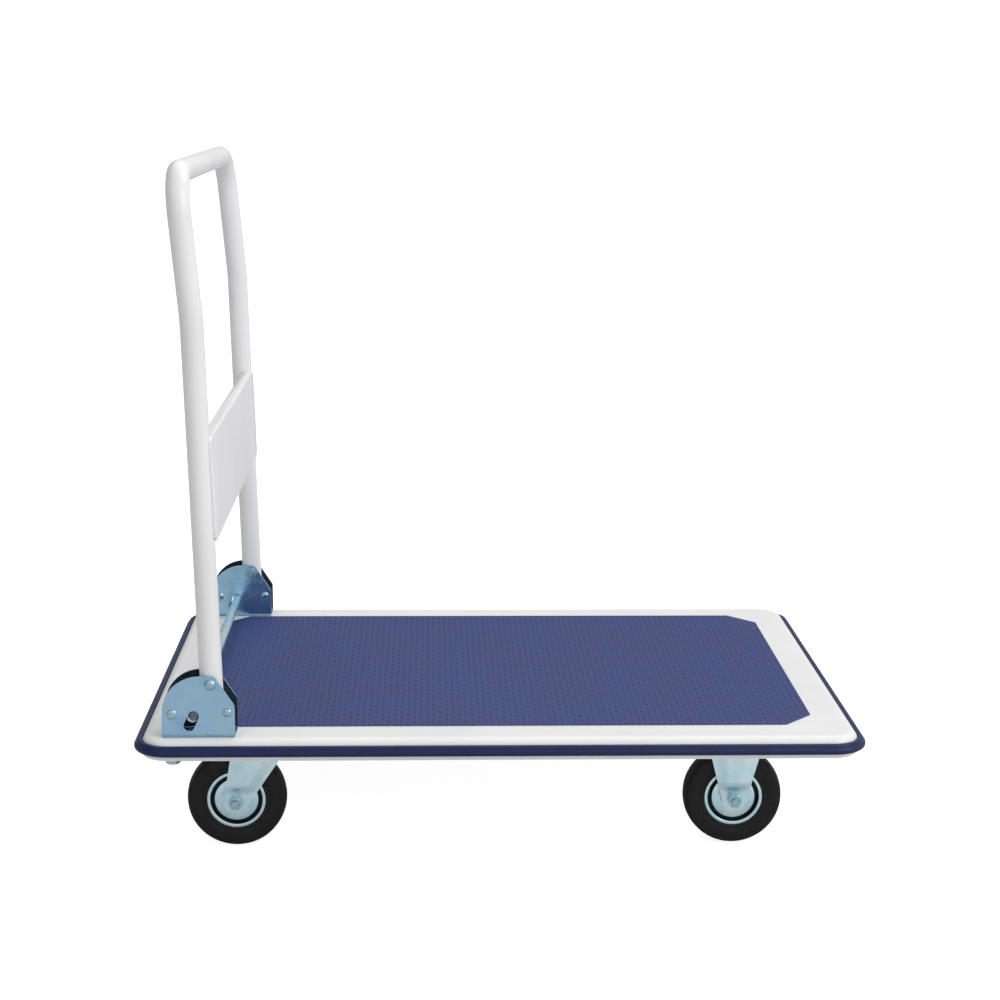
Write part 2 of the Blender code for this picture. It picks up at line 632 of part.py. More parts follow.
build_deck()
build_bumper()
build_mat()
build_end_channel()
build_caster_channel("swivel_caster_channel", SWIVEL_X)
build_caster_channel("fixed_caster_channel", FIXED_X)
for side_name, side in SIDES:
    build_rail(f"deck_rail_{side_name}", side * 0.120)
    build_bracket(f"handle_bracket_{side_name}", side)
    build_spacer(f"rear_spacer_{side_name}", side, REAR_SPACER, 0.0062)
    build_spacer(f"front_spacer_{side_name}", side, FRONT_SPACER, 0.0056)
    build_pivot_bolt(side_name, side)
    build_base_bolt(f"bracket_bolt_{side_name}", side)
    build_spring(f"release_spring_{side_name}", side)
build_casters()
pivot = axis_empty("handle_pivot", (PIVOT_X, 0, PIVOT_Z), lean=-HANDLE_LEAN)
build_handle_tube(pivot)
build_panel(pivot)
for side_name, side in SIDES:
    build_sleeve(f"pivot_sleeve_{side_name}", side, pivot)
build_release_bar()
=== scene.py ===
"""The looks of a folding platform cart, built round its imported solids.

Metres, +Z up, +X away from the handle. The sections follow the cart as it is put together: the view and
its light, the deck and what is under it, the handle brackets, the casters, the handle, the release bar.
"""
import json
from math import acos, atan2, cos, degrees, hypot, pi, radians, sin, sqrt

import bmesh
import bpy
from mathutils import Matrix, Vector


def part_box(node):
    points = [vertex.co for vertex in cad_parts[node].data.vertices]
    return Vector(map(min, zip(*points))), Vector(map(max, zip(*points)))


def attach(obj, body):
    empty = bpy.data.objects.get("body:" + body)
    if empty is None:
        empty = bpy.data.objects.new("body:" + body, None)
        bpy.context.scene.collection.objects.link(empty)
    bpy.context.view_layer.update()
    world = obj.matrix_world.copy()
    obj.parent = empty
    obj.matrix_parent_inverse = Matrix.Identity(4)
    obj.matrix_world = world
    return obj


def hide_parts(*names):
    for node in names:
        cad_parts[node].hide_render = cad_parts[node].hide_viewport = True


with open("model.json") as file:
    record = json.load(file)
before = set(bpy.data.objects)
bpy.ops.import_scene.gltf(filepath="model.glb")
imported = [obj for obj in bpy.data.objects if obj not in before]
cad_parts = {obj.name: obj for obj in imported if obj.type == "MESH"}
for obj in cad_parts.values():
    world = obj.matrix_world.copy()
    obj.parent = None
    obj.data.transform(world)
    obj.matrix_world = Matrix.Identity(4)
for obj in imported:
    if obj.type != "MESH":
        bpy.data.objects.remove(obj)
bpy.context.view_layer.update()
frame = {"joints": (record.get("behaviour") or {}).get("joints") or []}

# ---- View, floor and light ----
# A long lens from the cart's right side, a plain floor that runs out to a white room, a large soft key
# light high in front on the right, and a weaker wide one overhead. The room is dim on the left, which
# draws a grey edge down the tubes, and brighter behind the lens, which the plating mirrors.

CAMERA_AT = Vector((-0.0888, -2.4784, 0.9496))
CAMERA_PAN, CAMERA_TILT, CAMERA_ROLL = radians(2.154), radians(12.611), radians(0.508)
CAMERA_LENS = 67.71


def linear(colour):
    """A '#rrggbb' screen colour as the linear values that shaders take."""
    channels = [int(colour[i:i + 2], 16) / 255 for i in (1, 3, 5)]
    return tuple(c / 12.92 if c <= 0.04045 else ((c + 0.055) / 1.055) ** 2.4 for c in channels) + (1.0,)


def add(tree, kind, inputs=None, **settings):
    """Adds one node with its settings; an input's value is a number, a colour or another node's socket."""
    made = tree.nodes.new(kind)
    for name, value in settings.items():
        setattr(made, name, value)
    for name, value in (inputs or {}).items():
        if isinstance(value, bpy.types.NodeSocket):
            tree.links.new(value, made.inputs[name])
        else:
            made.inputs[name].default_value = value
    return made


def maths(tree, operation, *values):
    return add(tree, 'ShaderNodeMath', dict(enumerate(values)), operation=operation).outputs[0]


def aim(made, at, target):
    made.location = at
    made.rotation_mode = 'QUATERNION'
    made.rotation_quaternion = (Vector(target) - Vector(at)).to_track_quat('-Z', 'Y')


def soft_box(name, at, target, size, watts):
    lamp = bpy.data.lights.new(name, 'AREA')
    lamp.shape = 'RECTANGLE'
    lamp.size, lamp.size_y = size
    lamp.energy = watts
    made = bpy.data.objects.new(name, lamp)
    bpy.context.scene.collection.objects.link(made)
    aim(made, at, target)


def build_view():
    lens = bpy.data.cameras.new("camera")
    lens.lens, lens.sensor_width = CAMERA_LENS, 36.0
    camera = bpy.data.objects.new("camera", lens)
    bpy.context.scene.collection.objects.link(camera)
    flat = cos(CAMERA_TILT)
    ahead = Vector((sin(CAMERA_PAN) * flat, cos(CAMERA_PAN) * flat, -sin(CAMERA_TILT)))
    level = Vector((cos(CAMERA_PAN), -sin(CAMERA_PAN), 0))
    upright = level.cross(ahead)
    right = level * cos(CAMERA_ROLL) + upright * sin(CAMERA_ROLL)
    up = upright * cos(CAMERA_ROLL) - level * sin(CAMERA_ROLL)
    turned = Matrix((right, up, -ahead)).transposed().to_4x4()
    camera.matrix_world = Matrix.Translation(CAMERA_AT) @ turned
    bpy.context.scene.camera = camera

    room = bpy.data.worlds.new("white_room")
    room.use_nodes = True
    tree = room.node_tree
    background = tree.nodes["Background"]
    background.inputs["Color"].default_value = linear("#fbfcff")
    around = add(tree, 'ShaderNodeTexCoord').outputs["Generated"]
    facing = add(tree, 'ShaderNodeSeparateXYZ', {"Vector": around})
    level = maths(tree, 'MULTIPLY_ADD', facing.outputs["Z"], 0.22, 0.44)
    level = maths(tree, 'MULTIPLY_ADD', facing.outputs["X"], 0.30, level)
    behind_lens = maths(tree, 'MAXIMUM', maths(tree, 'MULTIPLY', facing.outputs["Y"], -0.38), 0.0)
    level = maths(tree, 'ADD', level, behind_lens)
    seen = add(tree, 'ShaderNodeLightPath').outputs["Is Camera Ray"]
    level = maths(tree, 'MAXIMUM', level, maths(tree, 'MULTIPLY', seen, 1.05))
    tree.links.new(level, background.inputs["Strength"])
    bpy.context.scene.world = room
    bpy.context.scene.view_settings.view_transform = 'Standard'

    soft_box("overhead", (0.2, 1.2, 2.8), (0, 0, 0.1), (3.2, 2.2), 24)
    soft_box("front_key", (2.4, -1.7, 2.3), (0, 0, 0.25), (1.7, 1.7), 34)

    painted = bpy.data.materials.new("matt_floor_paint")
    painted.use_nodes = True
    tree = painted.node_tree
    shader = tree.nodes["Principled BSDF"]
    shader.inputs["Base Color"].default_value = linear("#dadada")
    shader.inputs["Roughness"].default_value = 0.8
    shader.inputs["Specular IOR Level"].default_value = 0.1
    shader.inputs["Emission Color"].default_value = linear("#ffffff")
    seen = add(tree, 'ShaderNodeLightPath').outputs["Is Camera Ray"]
    tree.links.new(maths(tree, 'MULTIPLY', seen, 0.84), shader.inputs["Emission Strength"])
    bpy.ops.mesh.primitive_plane_add(size=60, location=(0, 0, 0))
    floor = bpy.context.object
    floor.name = "studio_floor"
    floor.data.materials.append(painted)


build_view()

# ---- Deck tray ----
# One blank of 1.2 mm sheet steel, pressed into a shallow tray that is open underneath, and powder coated
# white. The press leaves a round shoulder and corners; the skirt's edge is folded in to a blunt hem.

SHEET = 0.0012
SHOULDER = 0.012
SKIRT_CORNER = 0.035


def per_mm(size):
    """The scale of a texture whose features are this many millimetres apart."""
    return 1000.0 / size


def blank_finish(name, colour, roughness, metallic=0.0):
    """A material with its main shader set: returns it, its tree, the shader and the object's coordinates."""
    made = bpy.data.materials.new(name)
    made.use_nodes = True
    tree = made.node_tree
    shader = tree.nodes["Principled BSDF"]
    shader.inputs["Base Color"].default_value = linear(colour)
    shader.inputs["Roughness"].default_value = roughness
    shader.inputs["Metallic"].default_value = metallic
    return made, tree, shader, add(tree, 'ShaderNodeTexCoord').outputs["Object"]


def blended_colour(tree, shader, amount, *colours):
    """Sends a run of colours to the shader, picked by a 0 to 1 value."""
    ramp = add(tree, 'ShaderNodeValToRGB', {"Fac": amount})
    stops = ramp.color_ramp.elements
    while len(stops) < len(colours):
        stops.new(0.5)
    for stop, (place_at, colour) in zip(stops, colours):
        stop.position = place_at
        stop.color = linear(colour)
    tree.links.new(ramp.outputs["Color"], shader.inputs["Base Color"])


def noise(tree, spot, size, detail, **more):
    """A 0 to 1 cloud pattern, its features this many millimetres apart."""
    values = {"Vector": spot, "Scale": per_mm(size), "Detail": detail, **more}
    return add(tree, 'ShaderNodeTexNoise', values).outputs["Fac"]


def uneven_gloss(tree, shader, amount, low, high, smoothest, roughest):
    """Lets the roughness follow a pattern, between two of its values."""
    rough = add(tree, 'ShaderNodeMapRange', {"Value": amount, "From Min": low, "From Max": high,
                                             "To Min": smoothest, "To Max": roughest})
    tree.links.new(rough.outputs["Result"], shader.inputs["Roughness"])


def relief(tree, shader, height, strength, distance):
    bump = add(tree, 'ShaderNodeBump', {"Height": height, "Strength": strength, "Distance": distance})
    tree.links.new(bump.outputs["Normal"], shader.inputs["Normal"])


def powder_coat():
    """Polyester powder on steel: nearly white, half gloss, with a faint orange peel where the powder flowed.
    The real peel is about 1.5 mm from crest to crest; it is drawn at 3 mm, or it would not show."""
    made, tree, shader, spot = blank_finish("white_powder_coat", "#efeeec", 0.36)
    shader.inputs["IOR"].default_value = 1.5
    shader.inputs["Coat Weight"].default_value = 0.18
    shader.inputs["Coat Roughness"].default_value = 0.16
    blended_colour(tree, shader, noise(tree, spot, 140, 3.0), (0.35, "#ecebea"), (0.65, "#f2f1ef"))
    uneven_gloss(tree, shader, noise(tree, spot, 22, 5.0), 0.35, 0.7, 0.31, 0.42)
    relief(tree, shader, noise(tree, spot, 3, 1.0), 0.5, 0.00006)
    return made


POWDER_COAT = powder_coat()


def arc(middle, radius, start, end, steps):
    """Points of an arc between two angles in degrees."""
    turns = [radians(start + (end - start) * i / steps) for i in range(steps + 1)]
    return [(middle[0] + radius * cos(t), middle[1] + radius * sin(t)) for t in turns]


def rounded_rectangle(half_x, half_y, radius, steps=12):
    points = []
    for quarter, (x_side, y_side) in enumerate(((1, 1), (-1, 1), (-1, -1), (1, -1))):
        middle = (x_side * (half_x - radius), y_side * (half_y - radius))
        points += arc(middle, radius, 90 * quarter, 90 * quarter + 90, steps)
    return points


def bridge(built, one, two):
    """Joins two closed rings of the same number of points with a band of faces."""
    for i in range(len(one)):
        j = (i + 1) % len(one)
        built.faces.new((one[i], one[j], two[j], two[i]))


def as_object(name, built, finish, sharp=35):
    """Makes an object of a mesh: faces out, smooth except at its real edges."""
    bmesh.ops.remove_doubles(built, verts=built.verts, dist=1e-6)
    bmesh.ops.recalc_face_normals(built, faces=built.faces)
    mesh = bpy.data.meshes.new(name)
    built.to_mesh(mesh)
    built.free()
    mesh.materials.append(finish)
    mesh.shade_smooth()
    mesh.set_sharp_from_angle(angle=radians(sharp))
    made = bpy.data.objects.new(name, mesh)
    bpy.context.scene.collection.objects.link(made)
    return made


def fit(piece, body, slot, *nodes):
    """Puts a finished piece on its body, in place of the solids that it stands for."""
    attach(piece, body)
    if nodes:
        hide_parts(*nodes)
    return piece


deck_low, deck_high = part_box("deck_pan")
DECK_TOP, SKIRT_BOTTOM = deck_high.z, deck_low.z
SKIRT_X, SKIRT_Y = deck_high.x, deck_high.y


def deck_ring(built, inset, height):
    """A ring of points round the deck, set in from the skirt's outer face."""
    corner = max(SKIRT_CORNER - inset, 0.003)
    outline = rounded_rectangle(SKIRT_X - inset, SKIRT_Y - inset, corner)
    return [built.verts.new((x, y, height)) for x, y in outline]


def rounded_over(inset, top, radius, step_angles):
    """(inset, height) points round a shoulder of the deck, whose flat top starts this far in."""
    turns = [radians(angle) for angle in step_angles]
    return [(inset - radius * sin(t), top - radius * (1 - cos(t))) for t in turns]


def build_deck():
    built = bmesh.new()
    hem = 0.0016
    outer = [(SHOULDER + 0.004, DECK_TOP)] + rounded_over(SHOULDER, DECK_TOP, SHOULDER, range(0, 91, 9))
    outer += [(0, SKIRT_BOTTOM + hem)]
    roll = [(hem - x, SKIRT_BOTTOM + hem + z) for x, z in arc((0, 0), hem, 0, -180, 8)][1:]
    under = [(2 * hem, SKIRT_BOTTOM + 0.0075), (SHEET, SKIRT_BOTTOM + 0.008)]
    under += rounded_over(SHOULDER, DECK_TOP - SHEET, SHOULDER - SHEET, range(90, -1, -15))
    under += [(SHOULDER + 0.004, DECK_TOP - SHEET)]
    rings = [deck_ring(built, inset, height) for inset, height in outer + roll + under]
    for one, two in zip(rings, rings[1:]):
        bridge(built, one, two)
    built.faces.new(rings[0])
    built.faces.new(rings[-1])
    fit(as_object("deck_tray", built, POWDER_COAT, 50), "platform", "white_powder_coat", "deck_pan")


build_deck()

# ---- Edge bumper ----
# A strip of soft dark blue PVC, extruded as two bands with a groove between them, the lower one standing
# a little prouder and catching the light on its lip. It is wrapped round the skirt and pressed on.


def soft_vinyl():
    """Plasticised PVC: deep navy, a dull gloss, and the fine lengthwise lines that the extrusion die leaves.
    The lines are level all round the deck, so they follow height alone."""
    made, tree, shader, spot = blank_finish("navy_extruded_vinyl", "#0c1d4c", 0.4)
    shader.inputs["IOR"].default_value = 1.5
    shader.inputs["Specular IOR Level"].default_value = 0.35
    height = add(tree, 'ShaderNodeSeparateXYZ', {"Vector": spot}).outputs["Z"]
    lines = add(tree, 'ShaderNodeTexNoise', {"W": height, "Scale": per_mm(0.8), "Detail": 2.0},
                noise_dimensions='1D')
    scuffs = noise(tree, spot, 30, 6.0, Roughness=0.65)
    blended_colour(tree, shader, scuffs, (0.3, "#091847"), (0.62, "#0d1e50"), (0.78, "#182959"))
    uneven_gloss(tree, shader, scuffs, 0.3, 0.75, 0.33, 0.52)
    relief(tree, shader, lines.outputs["Fac"], 0.45, 0.00012)
    return made


def build_bumper():
    low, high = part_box("edge_bumper")
    proud = high.x - SKIRT_X
    lip = low.z + 0.6 * (high.z - low.z)
    section = [(-0.0002, low.z + 0.0004), (-proud * 0.45, low.z)]
    section += [(x - proud, z + low.z) for x, z in arc((0.0030, 0.0030), 0.0030, 250, 180, 5)]
    section += [(-proud, lip - 0.0018), (-proud + 0.0003, lip - 0.0011), (-proud + 0.0024, lip + 0.0009)]
    section += [(-proud + 0.0029, lip + 0.0012), (-proud + 0.0031, lip + 0.0016)]
    section += [(x - proud, z + high.z) for x, z in arc((0.0062, -0.0032), 0.0032, 182, 98, 6)]
    section += [(-0.0012, high.z - 0.0001), (-0.0002, high.z - 0.0008)]
    built = bmesh.new()
    rings = [deck_ring(built, inset, height) for inset, height in section]
    for one, two in zip(rings, rings[1:] + rings[:1]):
        bridge(built, one, two)
    bumper = as_object("bumper_strip", built, soft_vinyl(), 50)
    return fit(bumper, "platform", "blue_vinyl", "edge_bumper")


build_bumper()

# ---- Deck mat ----
# A sheet of calendered PVC, 1 mm thick, with its corners cut off, glued on the tray. The roller that
# made it left a field of small raised lozenges, turned left and right by turns, so that loads don't slide.

MAT_CHAMFER = 0.037


def embossed_vinyl():
    """Calendered PVC: greyish violet blue, matt, with a leather-like grain of about 1 mm, drawn at 1.6 mm.
    Feet and boxes rub the high spots paler."""
    made, tree, shader, spot = blank_finish("embossed_vinyl_mat", "#283871", 0.58)
    shader.inputs["IOR"].default_value = 1.5
    grain = add(tree, 'ShaderNodeTexVoronoi', {"Vector": spot, "Scale": per_mm(1.6)},
                feature='DISTANCE_TO_EDGE')
    wear = noise(tree, spot, 90, 7.0, Roughness=0.6)
    blended_colour(tree, shader, wear, (0.25, "#24346b"), (0.5, "#293973"), (0.75, "#30407a"))
    uneven_gloss(tree, shader, wear, 0.3, 0.7, 0.5, 0.66)
    relief(tree, shader, grain.outputs["Distance"], 0.5, 0.0002)
    return made


EMBOSSED_VINYL = embossed_vinyl()


def prism(outline, low, high, axis="Y"):
    """An outline pushed straight along an axis: (x, z) points along Y, (x, y) along Z, (y, z) along X."""
    lay = {"X": lambda a, b, c: (c, a, b), "Y": lambda a, b, c: (a, c, b),
           "Z": lambda a, b, c: (a, b, c)}[axis]
    built = bmesh.new()
    ends = [[built.verts.new(lay(a, b, level)) for a, b in outline] for level in (low, high)]
    built.faces.new(ends[0])
    built.faces.new(ends[1])
    bridge(built, ends[0], ends[1])
    return built


def settle(piece):
    """Turns a piece and its modifiers into a plain mesh."""
    bpy.context.view_layer.update()
    mesh = bpy.data.meshes.new_from_object(piece.evaluated_get(bpy.context.evaluated_depsgraph_get()))
    piece.modifiers.clear()
    piece.data = mesh
    return piece


def soften(piece, width, segments=2):
    """Rounds every real edge a little, as tumbling, pressing or paint does, and keeps the flats flat."""
    round_off = piece.modifiers.new("soften", 'BEVEL')
    round_off.width = width
    round_off.segments = segments
    round_off.limit_method = 'ANGLE'
    round_off.angle_limit = radians(40)
    round_off.harden_normals = True
    piece.data.shade_smooth()
    return settle(piece)


def geometry_tree(name, sizes):
    """A Geometry Nodes tree with a named input for each size: it, its inputs and their identifiers."""
    tree = bpy.data.node_groups.new(name, 'GeometryNodeTree')
    tree.interface.new_socket("Geometry", in_out='INPUT', socket_type='NodeSocketGeometry')
    tree.interface.new_socket("Geometry", in_out='OUTPUT', socket_type='NodeSocketGeometry')
    keys = {}
    for label, value in sizes.items():
        kind = 'NodeSocketInt' if isinstance(value, int) else 'NodeSocketFloat'
        keys[label] = tree.interface.new_socket(label, in_out='INPUT', socket_type=kind).identifier
    return tree, add(tree, 'NodeGroupInput').outputs, keys


def vector(tree, **parts):
    return add(tree, 'ShaderNodeCombineXYZ', parts).outputs["Vector"]


def shifted(tree, geometry, **by):
    moved_on = add(tree, 'GeometryNodeTransform', {"Geometry": geometry, "Translation": vector(tree, **by)})
    return moved_on.outputs["Geometry"]


def sown(tree, points, piece, **more):
    """The piece set on every point."""
    values = {"Points": points, "Instance": piece, **more}
    return add(tree, 'GeometryNodeInstanceOnPoints', values).outputs["Instances"]


def finish_tree(tree, geometry, finish):
    """Ends a tree: the instances made real, and given their material."""
    real = add(tree, 'GeometryNodeRealizeInstances', {"Geometry": geometry}).outputs["Geometry"]
    coated = add(tree, 'GeometryNodeSetMaterial', {"Geometry": real, "Material": finish})
    add(tree, 'NodeGroupOutput', {"Geometry": coated.outputs["Geometry"]})


def grow(name, tree, keys, sizes, points=(), edges=(), sharp=35):
    """Runs a tree on a few points or lines, and returns the plain mesh that it makes."""
    mesh = bpy.data.meshes.new(name)
    mesh.from_pydata(points, edges, [])
    made = bpy.data.objects.new(name, mesh)
    bpy.context.scene.collection.objects.link(made)
    run = made.modifiers.new("grow", 'NODES')
    run.node_group = tree
    for label, value in sizes.items():
        run[keys[label]] = value
    settle(made)
    made.data.shade_smooth()
    made.data.set_sharp_from_angle(angle=radians(sharp))
    return made


def build_mat():
    low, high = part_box("deck_mat")
    x, y, cut = high.x, high.y, MAT_CHAMFER
    outline = [(x, -y + cut), (x, y - cut), (x - cut, y), (-x + cut, y),
               (-x, y - cut), (-x, -y + cut), (-x + cut, -y), (x - cut, -y)]
    sheet = as_object("mat_sheet", prism(outline, low.z, high.z, "Z"), EMBOSSED_VINYL)
    fit(soften(sheet, 0.0006), "platform", "mat_vinyl", "deck_mat")

    margin = 0.004
    sizes = {"Length": 2 * (x - margin), "Width": 2 * (y - margin), "Cut corner": cut,
             "Columns": 98, "Rows": 54, "Level": high.z,
             "Stud length": 0.0062, "Stud width": 0.0026, "Stud height": 0.0005}
    tree, given, keys = geometry_tree("lozenge_emboss", sizes)
    grid = add(tree, 'GeometryNodeMeshGrid', {"Size X": given["Length"], "Size Y": given["Width"],
                                              "Vertices X": given["Columns"], "Vertices Y": given["Rows"]})
    spot = add(tree, 'GeometryNodeInputPosition').outputs["Position"]
    at = add(tree, 'ShaderNodeSeparateXYZ', {"Vector": spot}).outputs
    reach = maths(tree, 'ADD', maths(tree, 'ABSOLUTE', at["X"]), maths(tree, 'ABSOLUTE', at["Y"]))
    half_sum = maths(tree, 'MULTIPLY', maths(tree, 'ADD', given["Length"], given["Width"]), 0.5)
    past = maths(tree, 'GREATER_THAN', reach, maths(tree, 'SUBTRACT', half_sum, given["Cut corner"]))
    count = add(tree, 'GeometryNodeInputIndex').outputs["Index"]
    column = maths(tree, 'FLOOR', maths(tree, 'DIVIDE', count, given["Rows"]))
    row = maths(tree, 'MODULO', count, given["Rows"])
    odd = maths(tree, 'MODULO', maths(tree, 'ADD', column, row), 2.0)
    turned = add(tree, 'GeometryNodeCaptureAttribute', {"Geometry": grid.outputs["Mesh"]}, domain='POINT')
    turned.capture_items.new('FLOAT', "turn")
    turn = maths(tree, 'MULTIPLY', maths(tree, 'SUBTRACT', odd, 0.5), pi / 2)
    tree.links.new(turn, turned.inputs["turn"])
    kept = add(tree, 'GeometryNodeDeleteGeometry',
               {"Geometry": turned.outputs["Geometry"], "Selection": past})
    lozenge = add(tree, 'GeometryNodeMeshCone', {"Vertices": 4, "Radius Top": 0.7, "Radius Bottom": 1.0,
                                                 "Depth": 1.0})
    shape = vector(tree, X=maths(tree, 'MULTIPLY', given["Stud length"], 0.5),
                   Y=maths(tree, 'MULTIPLY', given["Stud width"], 0.5), Z=given["Stud height"])
    placed = sown(tree, kept.outputs["Geometry"], lozenge.outputs["Mesh"],
                  Rotation=vector(tree, Z=turned.outputs["turn"]), Scale=shape)
    finish_tree(tree, shifted(tree, placed, Z=given["Level"]), EMBOSSED_VINYL)
    fit(grow("mat_lozenges", tree, keys, sizes, points=[(0, 0, 0)], sharp=20), "platform", "mat_vinyl")


build_mat()

# ---- Channels and rails under the deck ----
# Strips of 2 mm sheet folded to open channels and stitch welded under the tray before it is painted: a
# deep one that the brackets are bolted through, a wide one over each pair of casters, two rails between.


def offset_line(path, radius, distance, steps):
    """An open line of straight runs, its corners rounded, moved sideways by a distance to its left."""
    points = []
    for i, point in enumerate(path):
        here = Vector(point)
        before = (here - Vector(path[i - 1])).normalized() if i else None
        after = (Vector(path[i + 1]) - here).normalized() if i + 1 < len(path) else None
        if before is None or after is None:
            ahead = after or before
            points.append(here + Vector((-ahead.y, ahead.x)) * distance)
            continue
        turn = before.cross(after)
        bend = acos(max(-1.0, min(1.0, before.dot(after))))
        back = radius * sin(bend / 2) / cos(bend / 2)
        side = 1 if turn > 0 else -1
        middle = here - before * back + Vector((-before.y, before.x)) * radius * side
        start = atan2(*(here - before * back - middle).yx)
        for step in range(steps + 1):
            angle = start + side * bend * step / steps
            points.append(middle + Vector((cos(angle), sin(angle))) * (radius - side * distance))
    return [tuple(p) for p in points]


def folded(path, thickness, radius, steps=4):
    """The outline of a strip of sheet that follows a line, with round bends."""
    left = offset_line(path, radius, thickness / 2, steps)
    return left + offset_line(path, radius, -thickness / 2, steps)[::-1]


def build_channel(name, node, walls_down, axis="Y"):
    """A channel in the space of its solid: walls down from the web, or up from it."""
    low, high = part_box(node)
    thick = 0.002
    across = (low.x, high.x) if axis == "Y" else (low.y, high.y)
    along = (low.y, high.y) if axis == "Y" else (low.x, high.x)
    left, right = across[0] + thick / 2, across[1] - thick / 2
    web, rim = (high.z - thick / 2, low.z) if walls_down else (low.z + thick / 2, high.z)
    outline = folded([(left, rim), (left, web), (right, web), (right, rim)], thick, 0.003)
    channel = as_object(name, prism(outline, *along, axis), POWDER_COAT, 40)
    fit(soften(channel, 0.0003, 1), "platform", "white_powder_coat", node)


build_channel("handle_end_channel", "end_channel", False)
build_channel("swivel_caster_bearer", "swivel_caster_channel", True)
build_channel("fixed_caster_bearer", "fixed_caster_channel", True)
for side in ("left", "right"):
    build_channel(f"deck_stiffener_{side}", f"deck_rail_{side}", True, "X")

# ---- Weld beads ----
# Short runs of arc weld, laid as overlapping drops and painted over with the rest: along the channels
# and rails under the deck, and later where the panel meets the handle's legs.


def bead_tree(name, finish):
    sizes = {"Drop spacing": 0.0022, "Bead width": 0.0040}
    tree, given, keys = geometry_tree(name, sizes)
    line = add(tree, 'GeometryNodeMeshToCurve', {"Mesh": given["Geometry"]}).outputs["Curve"]
    spaced = add(tree, 'GeometryNodeResampleCurve', {"Curve": line, "Length": given["Drop spacing"]},
                 mode='LENGTH')
    drop = add(tree, 'GeometryNodeMeshUVSphere', {"Segments": 10, "Rings": 6, "Radius": 0.5})
    wobble = add(tree, 'FunctionNodeRandomValue', {"Seed": 7, 2: 0.88, 3: 1.12})
    size = maths(tree, 'MULTIPLY', given["Bead width"], wobble.outputs[1])
    finish_tree(tree, sown(tree, spaced.outputs["Curve"], drop.outputs["Mesh"], Scale=size), finish)
    return tree, keys, sizes


PAINTED_BEAD = bead_tree("painted_weld_bead", POWDER_COAT)


def lay_beads(name, runs, body, width=0.0040):
    """Painted weld beads along straight runs, each given by its two ends."""
    tree, keys, sizes = PAINTED_BEAD
    points = [end for run in runs for end in run]
    edges = [(2 * i, 2 * i + 1) for i in range(len(runs))]
    beads = grow(name, tree, keys, {**sizes, "Bead width": width}, points, edges, 60)
    fit(beads, body, "white_powder_coat")


def deck_weld_runs():
    """30 mm stitches where each channel's sides meet the tray, and along the rails."""
    runs, half = [], 0.015
    level = DECK_TOP - SHEET - 0.0004
    for node in ("end_channel", "swivel_caster_channel", "fixed_caster_channel"):
        low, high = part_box(node)
        for y in (low.y + (high.y - low.y) * (i + 0.5) / 4 for i in range(4)):
            runs += [((x, y - half, level), (x, y + half, level)) for x in (low.x, high.x)]
    for side in ("left", "right"):
        low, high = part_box(f"deck_rail_{side}")
        for x in (low.x + (high.x - low.x) * (i + 0.5) / 4 for i in range(4)):
            runs += [((x - half, y, level), (x + half, y, level)) for y in (low.y, high.y)]
    return runs


lay_beads("deck_welds", deck_weld_runs(), "platform")

# ---- Handle brackets ----
# Each is one blank of 2.5 mm plate, punched and then folded to a U: a base on the deck and two cheeks,
# round at the back and slanted at the front, with the slanted slot for the bar. Blue passivated zinc.

SIDES = (("right", -1), ("left", 1))
PLATE = 0.0025
BRACKET_Y = sum(c.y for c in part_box("handle_bracket_left")) / 2


def blue_zinc():
    """Zinc plate with a blue chromate film: a soft metal shine whose tint drifts between steel blue,
    slate and sea green with the film's thickness, over a fine satin grain left by the rolled plate."""
    made, tree, shader, spot = blank_finish("blue_passivated_zinc", "#a4cce5", 0.24, 1.0)
    blended_colour(tree, shader, noise(tree, spot, 34, 4.0, Distortion=0.6),
                   (0.30, "#95c0e0"), (0.45, "#a2cae3"), (0.58, "#a8cce5"), (0.74, "#abd2e0"))
    uneven_gloss(tree, shader, noise(tree, spot, 12, 4.0), 0.3, 0.7, 0.18, 0.30)
    relief(tree, shader, noise(tree, spot, 0.9, 3.0), 0.35, 0.00008)
    return made


BLUE_ZINC = blue_zinc()


def painted_shade_zinc():
    """Zinc plate drawn dark and dull, as painted shade where little light reaches: between a bracket's
    cheeks and down a wheel disc's groove.
    """
    made, tree, shader, spot = blank_finish("painted_shade_zinc", "#22333a", 0.55, 0.6)
    blended_colour(tree, shader, noise(tree, spot, 6, 5.0), (0.35, "#16242a"), (0.65, "#2c4048"))
    return made


PAINTED_SHADE_ZINC = painted_shade_zinc()


def combine(kept, others, operation):
    """Cuts, joins or trims a piece with others, which are then thrown away."""
    for other in others:
        step = kept.modifiers.new("step", 'BOOLEAN')
        step.operation = operation
        step.object = other
    settle(kept)
    for other in others:
        bpy.data.objects.remove(other, do_unlink=True)
    return kept


def cutter(built):
    return as_object("cutter", built, POWDER_COAT)


def rod(x, z, radius, low, high):
    return prism(arc((x, z), radius, 0, 360 * 31 / 32, 31), low, high)


def joint(name):
    return next(j for j in frame["joints"] if j["name"] == name)


PIVOT = Vector(joint("handle_fold")["pos_m"])
bar_low, bar_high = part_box("release_bar")
BAR_X, BAR_Z = (bar_low.x + bar_high.x) / 2, (bar_low.z + bar_high.z) / 2
BAR_RADIUS = (bar_high.x - bar_low.x) / 2
BAR_AHEAD = Vector(joint("release_press")["axis"])
BAR_TRAVEL = joint("release_press")["range_m"][1]


def cheek_outline(low):
    """A cheek from the side, from its back foot round to its front foot."""
    points = [(-0.4175, low)] + arc((-0.3708, 0.1920), 0.0460, 180, 90, 20)
    points += [(-0.3545, 0.2380)] + arc((-0.3545, 0.2335), 0.0045, 60, 32, 4)
    return points + [(-0.3300, 0.2038)] + arc((-0.3330, 0.1990), 0.0050, 30, 0, 4) + [(-0.3280, low)]


